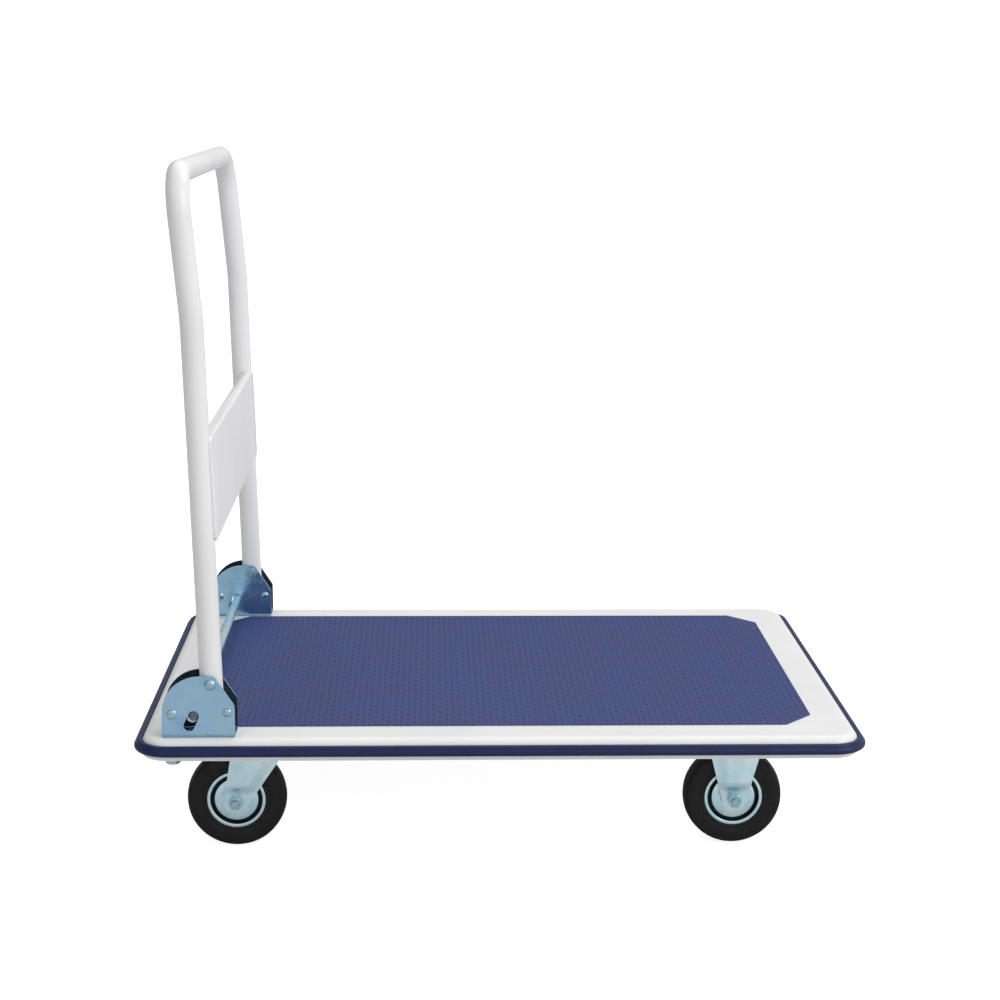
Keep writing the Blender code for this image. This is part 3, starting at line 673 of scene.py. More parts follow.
def slot_outline(radius):
    travel = BAR_AHEAD * (BAR_TRAVEL + 0.0015)
    across = degrees(atan2(BAR_AHEAD.z, BAR_AHEAD.x))
    return (arc((BAR_X, BAR_Z), radius, across + 90, across + 270, 14)
            + arc((BAR_X + travel.x, BAR_Z + travel.z), radius, across + 270, across + 450, 14))


def build_bracket(side_name, side):
    node = f"handle_bracket_{side_name}"
    low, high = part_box(node)
    y, past, top = side * BRACKET_Y, 0.03, high.z + 0.01
    wall = (high.y - low.y) / 2 - PLATE / 2
    base = low.z + PLATE / 2
    fold = folded([(y - wall, top), (y - wall, base), (y + wall, base), (y + wall, top)], PLATE, 0.0022, 5)
    bracket = as_object(f"bracket_{side_name}", prism(fold, low.x - 0.01, high.x + 0.01, "X"), BLUE_ZINC)
    combine(bracket, [cutter(prism(cheek_outline(low.z - 0.001), y - past, y + past))], 'INTERSECT')
    cuts = [prism(slot_outline(BAR_RADIUS + 0.0007), y - past, y + past),
            rod(PIVOT.x, PIVOT.z, 0.0053, y - past, y + past)]
    combine(bracket, [cutter(cut) for cut in cuts], 'DIFFERENCE')
    # Faces looking in from either cheek take the dark zinc: painted shade between the cheeks.
    soften(bracket, 0.00035).data.materials.append(PAINTED_SHADE_ZINC)
    for face in bracket.data.polygons:
        face.material_index = int((face.center.y - y) * face.normal.y < 0 and abs(face.normal.y) > 0.9)
    fit(bracket, "platform", "blue_zinc", node)


for side_name, side in SIDES:
    build_bracket(side_name, side)

# ---- Rivets, pivot bolts and bracket bolts ----
# Cold-headed steel parts in bright zinc: two shouldered rivets that hold each bracket's cheeks apart, the
# dome-headed bolt that the handle turns on with its nut, and the bolt up through channel, deck and base.


def bright_zinc(name, patches, smoothest, roughest):
    """Electroplated zinc with a clear chromate: bright pale metal, with faint blue, straw and mauve
    patches where the film's thickness drifts, and a fine frost of plating crystals, drawn at 1.2 mm."""
    made, tree, shader, spot = blank_finish(name, patches[2], (smoothest + roughest) / 2, 1.0)
    blended_colour(tree, shader, noise(tree, spot, 26, 5.0, Distortion=0.8),
                   *zip((0.30, 0.44, 0.56, 0.68, 0.80), patches))
    uneven_gloss(tree, shader, noise(tree, spot, 9, 4.0), 0.3, 0.7, smoothest, roughest)
    frost = add(tree, 'ShaderNodeTexVoronoi', {"Vector": spot, "Scale": per_mm(1.2)})
    relief(tree, shader, frost.outputs["Distance"], 0.25, 0.00005)
    return made


BRIGHT_ZINC = bright_zinc("bright_zinc_plate",
                          ("#c3e6ef", "#cdecf5", "#d8eff7", "#e2f0f1", "#d2e2f0"), 0.26, 0.4)
FASTENER_ZINC = bright_zinc("zinc_plated_fasteners",
                            ("#93b6c6", "#9fc0cd", "#abc8d1", "#b4c6ca", "#a3b6c7"), 0.2, 0.32)


def lathe(profile, sides=48, axis="Y", at=(0, 0, 0)):
    """A (radius, distance along the axis) profile turned about the axis, closed or ending at radius 0."""
    built = bmesh.new()
    rings = []
    for radius, along in profile:
        ring = []
        for i in range(sides if radius > 0 else 1):
            turn = 2 * pi * i / sides
            a, b = radius * cos(turn), radius * sin(turn)
            point = (a, along, b) if axis == "Y" else (a, b, along)
            ring.append(built.verts.new(Vector(point) + Vector(at)))
        rings.append(ring)
    for one, two in zip(rings, rings[1:] + rings[:1]):
        if len(one) == 1 and len(two) == 1:
            continue
        for i in range(sides):
            j = (i + 1) % sides
            corners = [one[i % len(one)], one[j % len(one)], two[j % len(two)], two[i % len(two)]]
            built.faces.new([v for n, v in enumerate(corners) if v not in corners[:n]])
    return built


def dome(radius, height, base, steps=7):
    """The profile of a round head, from its rim to its crown."""
    turns = [pi / 2 * i / steps for i in range(steps)]
    return [(radius * cos(t), base + height * sin(t)) for t in turns] + [(0, base + height)]


def hexagon_head(across_flats, height, axis, at, turn=0):
    """A hexagon with its corners turned off at both ends."""
    corner, flat = across_flats / sqrt(3), across_flats / 2
    cut, past = (corner - flat) * 0.62, 0.001
    limit = [(0, 0), (flat * 1.01, 0), (corner + 0.0001, cut), (corner + 0.0001, height - cut),
             (flat * 0.99, height), (0, height)]
    outline = arc((0, 0), corner, turn, turn + 300, 5)
    shape = as_object("head", prism(outline, -past, height + past, axis), FASTENER_ZINC)
    combine(shape, [cutter(lathe(limit, 48, axis))], 'INTERSECT')
    shape.data.transform(Matrix.Translation(Vector(at)))
    return shape


BOLT_RADIUS = 0.005


def thread(radius, start, end, pitch=0.0015):
    """The profile of a threaded end, as ridges a pitch apart."""
    count = max(1, round(abs(end - start) / pitch))
    points = []
    for i in range(count):
        along = start + (end - start) * i / count
        points += [(radius, along), (radius * 0.88, along + (end - start) / count / 2)]
    return points + [(radius * 0.86, end), (0, end)]


def join(name, parts, body, slot, *nodes):
    """Makes one piece of several meshes that are fixed to each other."""
    whole = bmesh.new()
    for part in parts:
        whole.from_mesh(part.data)
    finish = parts[0].data.materials[0]
    for part in parts:
        bpy.data.objects.remove(part, do_unlink=True)
    return fit(as_object(name, whole, finish, 32), body, slot, *nodes)


def build_bracket_fasteners(side_name, side):
    y = side * BRACKET_Y
    for place_name, head in (("front", 0.0056), ("rear", 0.0064)):
        low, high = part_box(f"{place_name}_spacer_{side_name}")
        face = (high.y - low.y) / 2 - 0.0022
        half = [(0.0046, 0), (0.0046, 0.0140), (0.0050, 0.0146), (0.0036, 0.0147), (0.0036, face)]
        half += dome(head, 0.0024, face)
        profile = [(radius, -along) for radius, along in reversed(half[1:])] + half
        rivet = lathe(profile, 32, "Y", (low + high) / 2)
        fit(as_object(f"{place_name}_rivet_{side_name}", rivet, FASTENER_ZINC), "platform", "bright_zinc",
            f"{place_name}_spacer_{side_name}")

    face = (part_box(f"handle_bracket_{side_name}")[1].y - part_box(f"handle_bracket_{side_name}")[0].y) / 2
    tip = -(face + 0.0098)
    profile = [(0, tip)] + thread(BOLT_RADIUS, -face, tip)[::-1][1:]
    profile += [(BOLT_RADIUS, 0), (BOLT_RADIUS, face)]
    profile = [(radius, side * along) for radius, along in profile + dome(0.0070, 0.0036, face)]
    bolt = lathe(profile, 40, "Y", (PIVOT.x, y, PIVOT.z))
    fit(as_object(f"handle_pivot_bolt_{side_name}", bolt, FASTENER_ZINC), "platform", "bright_zinc",
        f"pivot_bolt_{side_name}")
    nut_height = 0.008
    inboard = y - side * (face + 0.0003) - (nut_height if side > 0 else 0)
    nut = hexagon_head(0.016, nut_height, "Y", (PIVOT.x, inboard, PIVOT.z))
    fit(as_piece(nut, f"handle_pivot_nut_{side_name}"), "platform", "bright_zinc", f"pivot_nut_{side_name}")

    low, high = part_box(f"bracket_bolt_{side_name}")
    x = (low.x + high.x) / 2
    nut_low = DECK_TOP + PLATE + 0.0006
    shank = [(0, low.z + 0.004), (BOLT_RADIUS, low.z + 0.004), (BOLT_RADIUS, nut_low)]
    shank = lathe(shank + thread(0.0049, nut_low, high.z), 32, "Z", (x, y, 0))
    parts = [hexagon_head(0.0165, 0.0060, "Z", (x, y, low.z)),
             hexagon_head(0.0150, 0.0065, "Z", (x, y, nut_low)), as_object("shank", shank, FASTENER_ZINC)]
    join(f"base_bolt_{side_name}", parts, "platform", "bright_zinc", f"bracket_bolt_{side_name}")


def as_piece(made, name):
    made.name = made.data.name = name
    made.data.shade_smooth()
    made.data.set_sharp_from_angle(angle=radians(30))
    return made


for side_name, side in SIDES:
    build_bracket_fasteners(side_name, side)

# ---- Caster plates and their bolts ----
# Each caster hangs from a punched steel plate, held up to the bearer by four M8 hexagon bolts with
# washers. The swivel plates have the upper ball race pressed down out of their middle.

BOLT_X, BOLT_Y = 0.0425, 0.0310
CASTER_Y = abs(joint("fixed_wheel_spin_left")["pos_m"][1])
FIXED_X = joint("fixed_wheel_spin_left")["pos_m"][0]
SWIVEL_X = joint("caster_swivel_left")["pos_m"][0]
AXLE_Z = joint("fixed_wheel_spin_left")["pos_m"][2]
swivel_plate_low, swivel_plate_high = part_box("swivel_plate_left")
PLATE_TOP = swivel_plate_high.z
PLATE_UNDER = PLATE_TOP - PLATE
RACE_EDGE = swivel_plate_low.z + 0.0007


def caster_plate(x, y):
    outline = [(x + a, y + b) for a, b in rounded_rectangle(0.0525, 0.040, 0.009, 6)]
    return as_object("plate", prism(outline, PLATE_UNDER, PLATE_TOP, "Z"), BRIGHT_ZINC)


def build_swivel_plate(side_name, side):
    y = side * CASTER_Y
    plate = caster_plate(SWIVEL_X, y)
    soften(plate, 0.0004)
    cup = [(0.0064, PLATE_UNDER - 0.0002), (0.0064, RACE_EDGE + 0.002), (0.0225, RACE_EDGE + 0.002),
           (0.0240, RACE_EDGE), (0.0300, RACE_EDGE), (0.0312, RACE_EDGE + 0.0012),
           (0.0312, PLATE_UNDER - 0.0030), (0.0330, PLATE_UNDER - 0.0002)]
    race = as_object("race", lathe(cup, 64, "Z", (SWIVEL_X, y, 0)), BRIGHT_ZINC)
    join(f"swivel_mounting_plate_{side_name}", [plate, race], "platform", "bright_zinc",
         f"swivel_plate_{side_name}")


def plain_steel():
    """Turned and oiled steel: grey, half bright, with a fine grain left by the tool."""
    made, tree, shader, spot = blank_finish("oiled_turned_steel", "#6d7379", 0.36, 1.0)
    cloud = noise(tree, spot, 7, 5.0)
    blended_colour(tree, shader, cloud, (0.3, "#5c6268"), (0.5, "#6d7379"), (0.7, "#7b8187"))
    relief(tree, shader, noise(tree, spot, 0.6, 2.0), 0.3, 0.00005)
    return made


PLAIN_STEEL = plain_steel()


def build_king_pin(side_name, side):
    low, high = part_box(f"king_pin_{side_name}")
    head = [(0, 0), (0.0072, 0), (0.0090, 0.0010), (0.0094, 0.0026), (0.0094, 0.0050), (0.0060, 0.0050)]
    profile = [(radius, low.z + up) for radius, up in head]
    profile += [(0.0060, high.z - 0.0004), (0.0054, high.z), (0, high.z)]
    pin = lathe(profile, 40, "Z", (SWIVEL_X, side * CASTER_Y, 0))
    fit(as_object(f"swivel_king_pin_{side_name}", pin, PLAIN_STEEL), "platform", "plain_steel",
        f"king_pin_{side_name}")


def build_caster_bolts():
    """Bolt heads with washers, grown on the plates' sixteen holes."""
    sizes = {"Head radius": 0.0130 / sqrt(3), "Head height": 0.0052,
             "Washer radius": 0.0080, "Washer height": 0.0014}
    tree, given, keys = geometry_tree("bolt_and_washer", sizes)
    washer = add(tree, 'GeometryNodeMeshCylinder', {"Vertices": 28, "Radius": given["Washer radius"],
                                                    "Depth": given["Washer height"]})
    head = add(tree, 'GeometryNodeMeshCylinder', {"Vertices": 6, "Radius": given["Head radius"],
                                                  "Depth": given["Head height"]})
    bottom = maths(tree, 'MULTIPLY', given["Head radius"], 0.78)
    top = maths(tree, 'MULTIPLY', given["Head radius"], 0.84)
    crown = add(tree, 'GeometryNodeMeshCone', {"Vertices": 24, "Radius Bottom": bottom, "Radius Top": top,
                                               "Depth": 0.0005})
    drop = maths(tree, 'MULTIPLY', maths(tree, 'ADD', given["Head height"], given["Washer height"]), -0.5)
    lowered = shifted(tree, head.outputs["Mesh"], Z=drop)
    face = maths(tree, 'SUBTRACT', drop, maths(tree, 'MULTIPLY', given["Head height"], 0.5))
    crowned = shifted(tree, crown.outputs["Mesh"], Z=maths(tree, 'SUBTRACT', face, 0.0005))
    whole = add(tree, 'GeometryNodeJoinGeometry')
    for part in (washer.outputs["Mesh"], lowered, crowned):
        tree.links.new(part, whole.inputs["Geometry"])
    spin = add(tree, 'FunctionNodeRandomValue', {"Seed": 3, 2: 0.0, 3: pi})
    turn = vector(tree, Z=spin.outputs[1])
    placed = sown(tree, given["Geometry"], whole.outputs["Geometry"], Rotation=turn)
    finish_tree(tree, placed, FASTENER_ZINC)
    level = PLATE_UNDER - sizes["Washer height"] / 2
    points = [(x + a * BOLT_X, side * CASTER_Y + b * BOLT_Y, level)
              for x in (SWIVEL_X, FIXED_X) for _, side in SIDES for a in (-1, 1) for b in (-1, 1)]
    fit(grow("caster_bolts", tree, keys, sizes, points), "platform", "bright_zinc")


for side_name, side in SIDES:
    build_swivel_plate(side_name, side)
    build_king_pin(side_name, side)
build_caster_bolts()

# ---- Forks ----
# Each fork is one blank of 2.5 mm steel, pressed with a broad stiffening rib down each cheek and folded to
# a U over the wheel, then plated. A fixed fork hangs from its plate; a swivel fork carries a ball race.

FORK_INSIDE = 0.040
FIXED_RIB, SWIVEL_RIB = 0.0070, 0.0034
END_RADIUS = 0.015


def smooth_step(value, start, end):
    t = max(0.0, min(1.0, (value - start) / (end - start)))
    return t * t * (3 - 2 * t)


def tangent_angle(point, middle, radius, side):
    dx, dz = point[0] - middle[0], point[1] - middle[1]
    spread = pi / 2 - atan2(radius, sqrt(dx * dx + dz * dz - radius * radius))
    return atan2(dz, dx) - side * spread


def cheek_edge(z, shoulder, top_x, top_z, axle_x, side):
    """Where a cheek's front (1) or back (-1) edge is at a height: straight, slanted, then round."""
    if z >= shoulder[1]:
        part = (z - shoulder[1]) / max(top_z - shoulder[1], 1e-6)
        return shoulder[0] + (top_x - shoulder[0]) * min(part, 1.0)
    touch = tangent_angle(shoulder, (axle_x, AXLE_Z), END_RADIUS, side)
    touch_x, touch_z = axle_x + END_RADIUS * cos(touch), AXLE_Z + END_RADIUS * sin(touch)
    if z >= touch_z:
        part = (z - touch_z) / (shoulder[1] - touch_z)
        return touch_x + (shoulder[0] - touch_x) * part
    return axle_x + side * sqrt(max(END_RADIUS ** 2 - (z - AXLE_Z) ** 2, 0.0))


def fork_sheet(top, axle_x, front, back, rib_middle, rib_height):
    """The folded sheet, about the wheel's middle plane, with a band raised along each cheek.
    front and back are (shoulder point, x at the crown)."""
    bend, columns, steps = 0.006, 26, 16
    reach = FORK_INSIDE / 2 + PLATE / 2
    crown = top - PLATE / 2
    rows = [(0.0, crown, 0.0, 1.0), (reach - bend, crown, 0.0, 1.0)]
    for t in (pi / 2 * i / 6 for i in range(1, 7)):
        rows.append((reach - bend + bend * sin(t), crown - bend + bend * cos(t), sin(t), cos(t)))
    fall = (crown - bend - AXLE_Z) / steps
    rows += [(reach, crown - bend - fall * i, 1.0, 0.0) for i in range(1, steps + 1)]
    rows += [(reach, AXLE_Z - END_RADIUS * sin(pi / 2 * i / 9), 1.0, 0.0) for i in range(1, 10)]
    rows = [(-y, z, -ny, nz) for y, z, ny, nz in reversed(rows[1:])] + rows
    built = bmesh.new()
    skins = []
    for face in (0.5, -0.5):
        skin = []
        for y, z, ny, nz in rows:
            x0 = cheek_edge(z, back[0], back[1], crown, axle_x, -1)
            x1 = cheek_edge(z, front[0], front[1], crown, axle_x, 1)
            row = []
            for i in range(columns + 1):
                x = x0 + (x1 - x0) * i / columns
                width = abs(x - rib_middle(z))
                rib = rib_height * min(1, max(0, (0.023 - width) / 0.0125)) * smooth_step(z, 0.0755, 0.083)
                rib *= abs(ny) * smooth_step(crown - z, 0.003, 0.010)
                out = face * PLATE + rib
                row.append(built.verts.new((x, y + ny * out, z + nz * out)))
            skin.append(row)
        skins.append(skin)
    for skin in skins:
        for one, two in zip(skin, skin[1:]):
            for i in range(columns):
                built.faces.new((one[i], one[i + 1], two[i + 1], two[i]))
    outer, inner = skins
    for i in (0, columns):
        for r in range(len(rows) - 1):
            built.faces.new((outer[r][i], outer[r + 1][i], inner[r + 1][i], inner[r][i]))
    for r in (0, len(rows) - 1):
        for i in range(columns):
            built.faces.new((outer[r][i], outer[r][i + 1], inner[r][i + 1], inner[r][i]))
    bmesh.ops.remove_doubles(built, verts=built.verts, dist=1e-5)
    bmesh.ops.dissolve_degenerate(built, edges=built.edges, dist=1e-6)
    return built


def moved(built, offset):
    bmesh.ops.translate(built, verts=built.verts, vec=Vector(offset))
    return built


def build_fixed_fork(side_name, side):
    y, wide, shoulder_z = side * CASTER_Y, 0.0365, PLATE_UNDER - 0.012
    sheet = fork_sheet(PLATE_UNDER, 0, ((wide, shoulder_z), wide), ((-wide, shoulder_z), -wide),
                       lambda z: 0.0, FIXED_RIB)
    fork = as_object("sheet", moved(sheet, (FIXED_X, y, 0)), BRIGHT_ZINC, 40)
    plate = soften(caster_plate(FIXED_X, y), 0.0004)
    join(f"fixed_caster_fork_{side_name}", [plate, fork], "platform", "bright_zinc",
         f"fixed_fork_{side_name}")


TRAIL = SWIVEL_X - joint("swivel_wheel_spin_left")["pos_m"][0]
fork_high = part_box("swivel_fork_left")[1].z
CROWN_TOP = fork_high - 0.0047


def build_swivel_fork(side_name, side):
    y = side * CASTER_Y
    sheet = fork_sheet(CROWN_TOP, -TRAIL, ((0.0190, 0.1160), 0.0290), ((-0.0415, 0.1160), -0.0375),
                       lambda z: -0.0100 - 0.020 * smooth_step(0.125 - z, 0.0, 0.05), SWIVEL_RIB)
    fork = as_object("sheet", moved(sheet, (SWIVEL_X, y, 0)), BRIGHT_ZINC, 40)
    ring = [(0.0064, CROWN_TOP - 0.0005), (0.0300, CROWN_TOP - 0.0005), (0.0318, CROWN_TOP + 0.0005),
            (0.0318, RACE_EDGE - 0.0036), (0.0306, RACE_EDGE - 0.0026), (0.0290, RACE_EDGE - 0.0026),
            (0.0272, RACE_EDGE - 0.0040), (0.0252, RACE_EDGE - 0.0040), (0.0235, RACE_EDGE - 0.0026),
            (0.0064, RACE_EDGE - 0.0026)]
    race = as_object("race", lathe(ring, 64, "Z", (SWIVEL_X, y, 0)), BRIGHT_ZINC)
    join(f"swivel_caster_fork_{side_name}", [race, fork], f"swivel_{side_name}", "bright_zinc",
         f"swivel_fork_{side_name}")


def build_balls(side_name, side):
    """The ring of bearing balls between the two races."""
    sizes = {"Balls": 30, "Ring radius": 0.0262, "Ball radius": 0.0024}
    tree, given, keys = geometry_tree(f"ball_ring_{side_name}", sizes)
    ring = add(tree, 'GeometryNodeMeshCircle', {"Vertices": given["Balls"], "Radius": given["Ring radius"]})
    ball = add(tree, 'GeometryNodeMeshIcoSphere', {"Radius": given["Ball radius"], "Subdivisions": 3})
    placed = sown(tree, ring.outputs["Mesh"], ball.outputs["Mesh"])
    raised = shifted(tree, placed, X=SWIVEL_X, Y=side * CASTER_Y, Z=RACE_EDGE - 0.0014)
    finish_tree(tree, raised, PLAIN_STEEL)
    balls = grow(f"swivel_balls_{side_name}", tree, keys, sizes, points=[(0, 0, 0)], sharp=60)
    fit(balls, f"swivel_{side_name}", "plain_steel")


for side_name, side in SIDES:
    build_fixed_fork(side_name, side)
    build_swivel_fork(side_name, side)
    build_balls(side_name, side)

# ---- Wheels ----
# A ring of black rubber moulded on, gripped by two discs pressed from zinc-plated sheet: a rolled flange,
# a deep groove and a flat centre. A steel roller-bearing tube runs through on an M10 bolt with a nut.


def moulded_rubber():
    """Moulded natural rubber: near black, matt, with a pebbled skin of about 1.5 mm and a little floor
    dust on it, where it is greyer."""
    made, tree, shader, spot = blank_finish("moulded_black_rubber", "#0e0d0f", 0.6)
    shader.inputs["IOR"].default_value = 1.52
    shader.inputs["Specular IOR Level"].default_value = 0.3
    dust = noise(tree, spot, 11, 6.0, Roughness=0.7)
    blended_colour(tree, shader, dust, (0.35, "#0b0a0c"), (0.55, "#100f11"), (0.75, "#1f1d1f"))
    relief(tree, shader, noise(tree, spot, 1.5, 3.0), 0.6, 0.00025)
    return made


RUBBER = moulded_rubber()
WHEEL_RADIUS = AXLE_Z
TYRE_HALF = (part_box("fixed_left_tyre")[1].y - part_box("fixed_left_tyre")[0].y) / 2


def tyre_profile():
    """Half the tyre's section, from the bore out to the tread's middle, then mirrored."""
    half, tread, shoulder = TYRE_HALF, WHEEL_RADIUS, 0.0052
    side = [(0.0350, -half + 0.0040), (0.0362, -half + 0.0014), (0.0376, -half + 0.0005),
            (0.0400, -half + 0.0002), (0.0408, -half + 0.0008), (0.0420, -half + 0.0008),
            (0.0428, -half + 0.0002), (0.0470, -half), (tread - 0.0066, -half + 0.0002)]
    side += arc((tread - 0.0066, -half + 0.0054), shoulder, -75, 0, 5)
    side += [(tread - 0.0009, -half + 0.0078), (tread - 0.0003, -half + 0.0115), (tread - 0.0001, -0.0009),
             (tread, -0.0003)]
    return side + [(radius, -along) for radius, along in reversed(side)]


def disc_profile():
    """A pressed disc's section, its outer skin and then its inner one, from the flange in to the hub."""
    skin = [(0.0352, 0.0002), (0.0352, 0.0128)] + arc((0.0364, 0.0141), 0.0012, 0, 90, 2)
    skin += [(0.0338, 0.0153)] + arc((0.0338, 0.0141), 0.0012, 110, 180, 3)
    skin += [(0.0324, 0.0085), (0.0318, 0.0070), (0.0306, 0.0064), (0.0290, 0.0064), (0.0281, 0.0070),
             (0.0278, 0.0082), (0.0276, 0.0124), (0.0272, 0.0135), (0.0264, 0.0139), (0.0200, 0.0140),
             (0.0196, 0.0144), (0.0150, 0.0144), (0.0146, 0.0139), (0.0106, 0.0138)]
    back = [(0.0106, 0.0126), (0.0250, 0.0126), (0.0262, 0.0118), (0.0266, 0.0060), (0.0283, 0.0051),
            (0.0312, 0.0051), (0.0330, 0.0066), (0.0338, 0.0090), (0.0338, 0.0002)]
    return skin + back


def build_wheel(caster, side_name, side):
    prefix = f"{caster}_{side_name}"
    body = f"{caster}_wheel_{side_name}"
    spin = joint(f"{caster}_wheel_spin_{side_name}")["pos_m"]
    tyre = as_object(f"{prefix}_rubber_tyre", lathe(tyre_profile(), 96, "Y", spin), RUBBER, 40)
    fit(tyre, body, "black_rubber", f"{prefix}_tyre")
    groove_in, groove_out, groove_face = 0.0272, 0.0334, 0.0126
    for place_name, facing in (("outer", side), ("inner", -side)):
        profile = [(radius, facing * along) for radius, along in disc_profile()]
        turned = lathe(profile, 80, "Y", spin)
        disc = as_object(f"{prefix}_pressed_disc_{place_name}", turned, BRIGHT_ZINC, 42)
        # The web at the bottom of each disc's deep groove takes the dark zinc: painted shade down in the
        # groove.
        disc.data.materials.append(PAINTED_SHADE_ZINC)
        for face in disc.data.polygons:
            out = hypot(face.center.x - spin[0], face.center.z - spin[2])
            across = abs(face.center.y - spin[1])
            face.material_index = int(groove_in < out < groove_out and across < groove_face)
        fit(disc, body, "bright_zinc", f"{prefix}_disc_{place_name}")
    reach = FORK_INSIDE / 2 - 0.0006
    hub = [(0.0056, -reach), (0.0078, -reach), (0.0086, -reach + 0.0008), (0.0086, -0.0150),
           (0.0104, -0.0146), (0.0104, 0)]
    hub += [(radius, -along) for radius, along in reversed(hub[:-1])]
    fit(as_object(f"{prefix}_bearing_tube", lathe(hub, 48, "Y", spin), PLAIN_STEEL), body, "plain_steel",
        f"{prefix}_hub")


def build_axle(caster, side_name, side):
    prefix = f"{caster}_{side_name}"
    body = "platform" if caster == "fixed" else f"swivel_{side_name}"
    at = Vector(joint(f"{caster}_wheel_spin_{side_name}")["pos_m"])
    face = FORK_INSIDE / 2 + PLATE + 0.0002
    nut_height = 0.0084
    out_low = at + Vector((0, face if side > 0 else -face - nut_height, 0))
    in_low = at + Vector((0, -face - 0.0066 if side > 0 else face, 0))
    nut = hexagon_head(0.0152, nut_height, "Y", out_low)
    fit(as_piece(nut, f"{prefix}_wheel_nut"), body, "bright_zinc", f"{prefix}_axle_nut")
    tip = face + 0.0106
    shank = [(0, -face - 0.0005), (BOLT_RADIUS, -face - 0.0005), (BOLT_RADIUS, face)]
    shank = [(radius, side * along) for radius, along in shank + thread(BOLT_RADIUS, face, tip)]
    parts = [hexagon_head(0.0165, 0.0064, "Y", in_low, turn=20),
             as_object("shank", lathe(shank, 32, "Y", at), FASTENER_ZINC)]
    join(f"{prefix}_wheel_bolt", parts, body, "bright_zinc", f"{prefix}_axle_bolt")


for side_name, side in SIDES:
    for caster in ("fixed", "swivel"):
        build_wheel(caster, side_name, side)
        build_axle(caster, side_name, side)

# ---- Folding handle ----
# One length of 28 mm steel tube bent to a tall U whose legs bow back a little, a folded sheet panel
# welded across their front, and a bush through each foot for the pivot bolt. Powder coated as one.

TUBE_RADIUS, TUBE_WALL, HANDLE_BEND = 0.014, 0.0016, 0.050
HANDLE_LEAN, HANDLE_RISE, LEG_TAIL = radians(1.6), 0.614, 0.0345
KNEE, KNEE_RADIUS, KNEE_TURN = 0.430, 0.400, radians(3.4)
TO_HANDLE = Matrix.Translation(PIVOT) @ Matrix.Rotation(-HANDLE_LEAN, 4, 'Y')


def leaned(built):
    """Takes a mesh drawn with its legs upright over the pivot to where the handle stands."""
    bmesh.ops.transform(built, matrix=TO_HANDLE, verts=built.verts)
    return built


def bowed(x, y, z):
    """Takes a point of the flat handle to where it is once the legs are bowed back at their knees."""
    if z <= KNEE:
        return x, y, z
    turn = min((z - KNEE) / KNEE_RADIUS, KNEE_TURN)
    past = z - KNEE - turn * KNEE_RADIUS
    reach = KNEE_RADIUS + x
    back = reach * cos(turn) - KNEE_RADIUS - past * sin(turn)
    return back, y, KNEE + reach * sin(turn) + past * cos(turn)


def build_handle_tube():
    half, bend, sides = BRACKET_Y, HANDLE_BEND, 40
    knee = [(-half, KNEE + KNEE_RADIUS * KNEE_TURN * part / 4) for part in range(5)]
    right = [(-half, -LEG_TAIL), (-half, 0.10), (-half, 0.30)] + knee
    right += arc((-half + bend, HANDLE_RISE - bend), bend, 180, 90, 14)
    path = right + [(-y, z) for y, z in reversed(right)]
    built = bmesh.new()
    walls = {TUBE_RADIUS: [], TUBE_RADIUS - TUBE_WALL: []}
    for i, (y, z) in enumerate(path):
        before, after = path[max(i - 1, 0)], path[min(i + 1, len(path) - 1)]
        run = hypot(after[0] - before[0], after[1] - before[1])
        ahead = ((after[0] - before[0]) / run, (after[1] - before[1]) / run)
        for radius, rings in walls.items():
            ring = []
            for step in range(sides):
                turn = 2 * pi * step / sides
                out = radius * sin(turn)
                point = bowed(radius * cos(turn), y + out * ahead[1], z - out * ahead[0])
                ring.append(built.verts.new(point))
            rings.append(ring)
    outer, inner = walls.values()
    for wall in (outer, inner):
        for one, two in zip(wall, wall[1:]):
            bridge(built, one, two)
    bridge(built, outer[0], inner[0])
    bridge(built, outer[-1], inner[-1])
    tube = as_object("handle_bent_tube", leaned(built), POWDER_COAT, 50)
    fit(tube, "handle", "white_powder_coat", "handle_tube")


PANEL_LOW, PANEL_HIGH = 0.172, 0.303
PANEL_FRONT = TUBE_RADIUS + 0.0015
PANEL_SHEET = 0.0015


def build_panel():
    """The face sheet over both legs, and its long edges rolled back between them."""
    middle, fold = PANEL_FRONT - PANEL_SHEET / 2 + 0.0003, 0.012
    low, high = PANEL_LOW + PANEL_SHEET / 2, PANEL_HIGH - PANEL_SHEET / 2
    outline = [(middle - fold, low), (middle, low), (middle, high), (middle - fold, high)]
    inner = BRACKET_Y - 0.0165
    channel = prism(folded(outline, PANEL_SHEET, 0.0035, 6), -inner, inner)
    channel = as_object("channel", channel, POWDER_COAT, 40)
    face = rounded_rectangle(BRACKET_Y + 0.006, (PANEL_HIGH - PANEL_LOW) / 2 - 0.0030, 0.012, 6)
    face = [(y, z + (PANEL_LOW + PANEL_HIGH) / 2) for y, z in face]
    skin = PANEL_SHEET / 2 - 0.00005
    ends = as_object("ends", prism(face, middle - skin, middle + skin, "X"), POWDER_COAT)
    panel = combine(channel, [ends], 'UNION')
    soften(panel, 0.0003, 1)
    panel.data.transform(TO_HANDLE)
    fit(as_piece(panel, "handle_cross_panel"), "handle", "white_powder_coat", "handle_panel")


def build_handle_welds():
    """Beads down both sides of each leg, behind the panel's ends."""
    runs, ends = [], (PANEL_LOW + 0.010, PANEL_HIGH - 0.010)
    for _, side in SIDES:
        for inward, out in ((1, 0.0060), (-1, 0.0052)):
            y = side * (BRACKET_Y - inward * out)
            x = sqrt(TUBE_RADIUS ** 2 - out ** 2) + 0.0006
            runs.append([TO_HANDLE @ Vector((x, y, z)) for z in ends])
    lay_beads("handle_welds", runs, "handle", 0.0026)


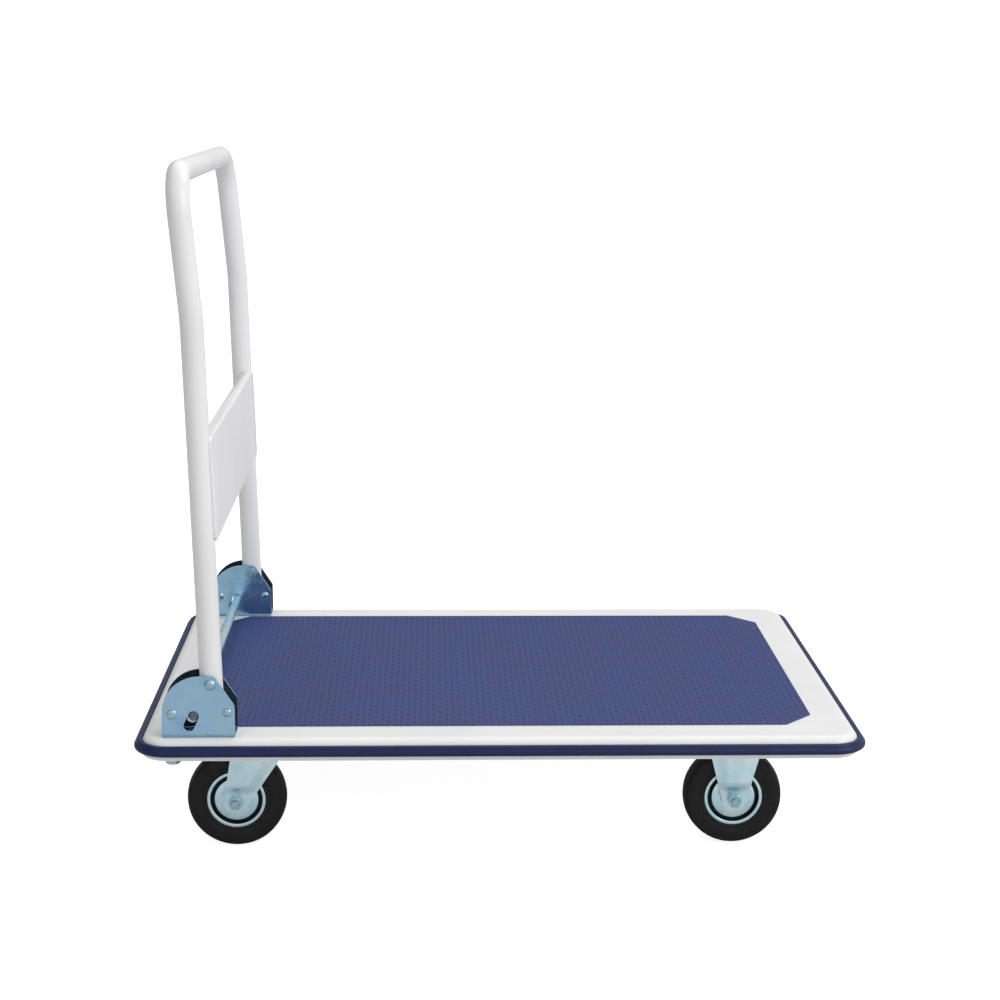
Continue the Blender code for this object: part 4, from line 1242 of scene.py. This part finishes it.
def build_sleeve(side_name, side):
    half, edge = TUBE_RADIUS + 0.0003, 0.0005
    profile = [(0.0054, -half), (0.0070, -half), (0.0075, -half + edge),
               (0.0075, half - edge), (0.0070, half), (0.0054, half)]
    sleeve = lathe(profile, 40, "Y", (PIVOT.x, side * BRACKET_Y, PIVOT.z))
    fit(as_object(f"handle_pivot_bush_{side_name}", sleeve, PLAIN_STEEL), "handle", "plain_steel",
        f"pivot_sleeve_{side_name}")


build_handle_tube()
build_panel()
build_handle_welds()
for side_name, side in SIDES:
    build_sleeve(side_name, side)

# ---- Release bar and its springs ----
# A 12 mm round bar, cut square with its ends chamfered, slides down in the brackets' slots under a foot.
# In each bracket a torsion spring of hard-drawn wire, wound round the rear rivet, pushes it back up.


def build_release_bar():
    half, radius, chamfer = bar_high.y, 0.006, 0.0008
    profile = [(0, -half), (radius - chamfer, -half), (radius, -half + chamfer)]
    profile += [(r, -along) for r, along in reversed(profile)]
    bar = as_object("foot_release_bar", lathe(profile, 48, "Y", (BAR_X, 0, BAR_Z)), BRIGHT_ZINC)
    bar.data.materials.append(PLAIN_STEEL)
    for face in bar.data.polygons:
        face.material_index = int(abs(face.normal.y) > 0.5)
    fit(bar, "release_bar", "bright_zinc", "release_bar")


def build_spring(side_name, side):
    wire, coil, turns, steps = 0.0008, 0.0068, 2.75, 32
    low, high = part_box(f"rear_spacer_{side_name}")
    x, z, middle = (low.x + high.x) / 2, (low.z + high.z) / 2, side * (BRACKET_Y + 0.0115)
    pitch = 2 * wire + 0.0002
    start, total = radians(340), int(turns * steps)
    points = [(x - 0.0022, middle - turns * pitch / 2, DECK_TOP + PLATE + 2 * wire)]
    for i in range(total + 1):
        turn = start + 2 * pi * i / steps
        along = (i / total - 0.5) * turns * pitch
        points.append((x + coil * cos(turn), middle + along, z + coil * sin(turn)))
    behind = Vector((BAR_AHEAD.z, 0, -BAR_AHEAD.x)) * (BAR_RADIUS + wire + 0.0004)
    for along in (BAR_TRAVEL + 0.0008, -0.0020):
        rest = Vector((BAR_X, points[-1][1], BAR_Z)) + behind + BAR_AHEAD * along
        points.append(tuple(rest))
    curve = bpy.data.curves.new(f"spring_wire_{side_name}", 'CURVE')
    curve.dimensions = '3D'
    curve.bevel_depth, curve.bevel_resolution, curve.use_fill_caps = wire, 2, True
    spline = curve.splines.new('POLY')
    spline.points.add(len(points) - 1)
    for point, spot in zip(spline.points, points):
        point.co = (*spot, 1.0)
    wound = bpy.data.objects.new("wound", curve)
    bpy.context.scene.collection.objects.link(wound)
    bpy.context.view_layer.update()
    mesh = bpy.data.meshes.new_from_object(wound.evaluated_get(bpy.context.evaluated_depsgraph_get()))
    bpy.data.objects.remove(wound, do_unlink=True)
    built = bmesh.new()
    built.from_mesh(mesh)
    spring = as_object(f"release_return_spring_{side_name}", built, PLAIN_STEEL, 60)
    fit(spring, "platform", "plain_steel", f"release_spring_{side_name}")


build_release_bar()
for side_name, side in SIDES:
    build_spring(side_name, side)
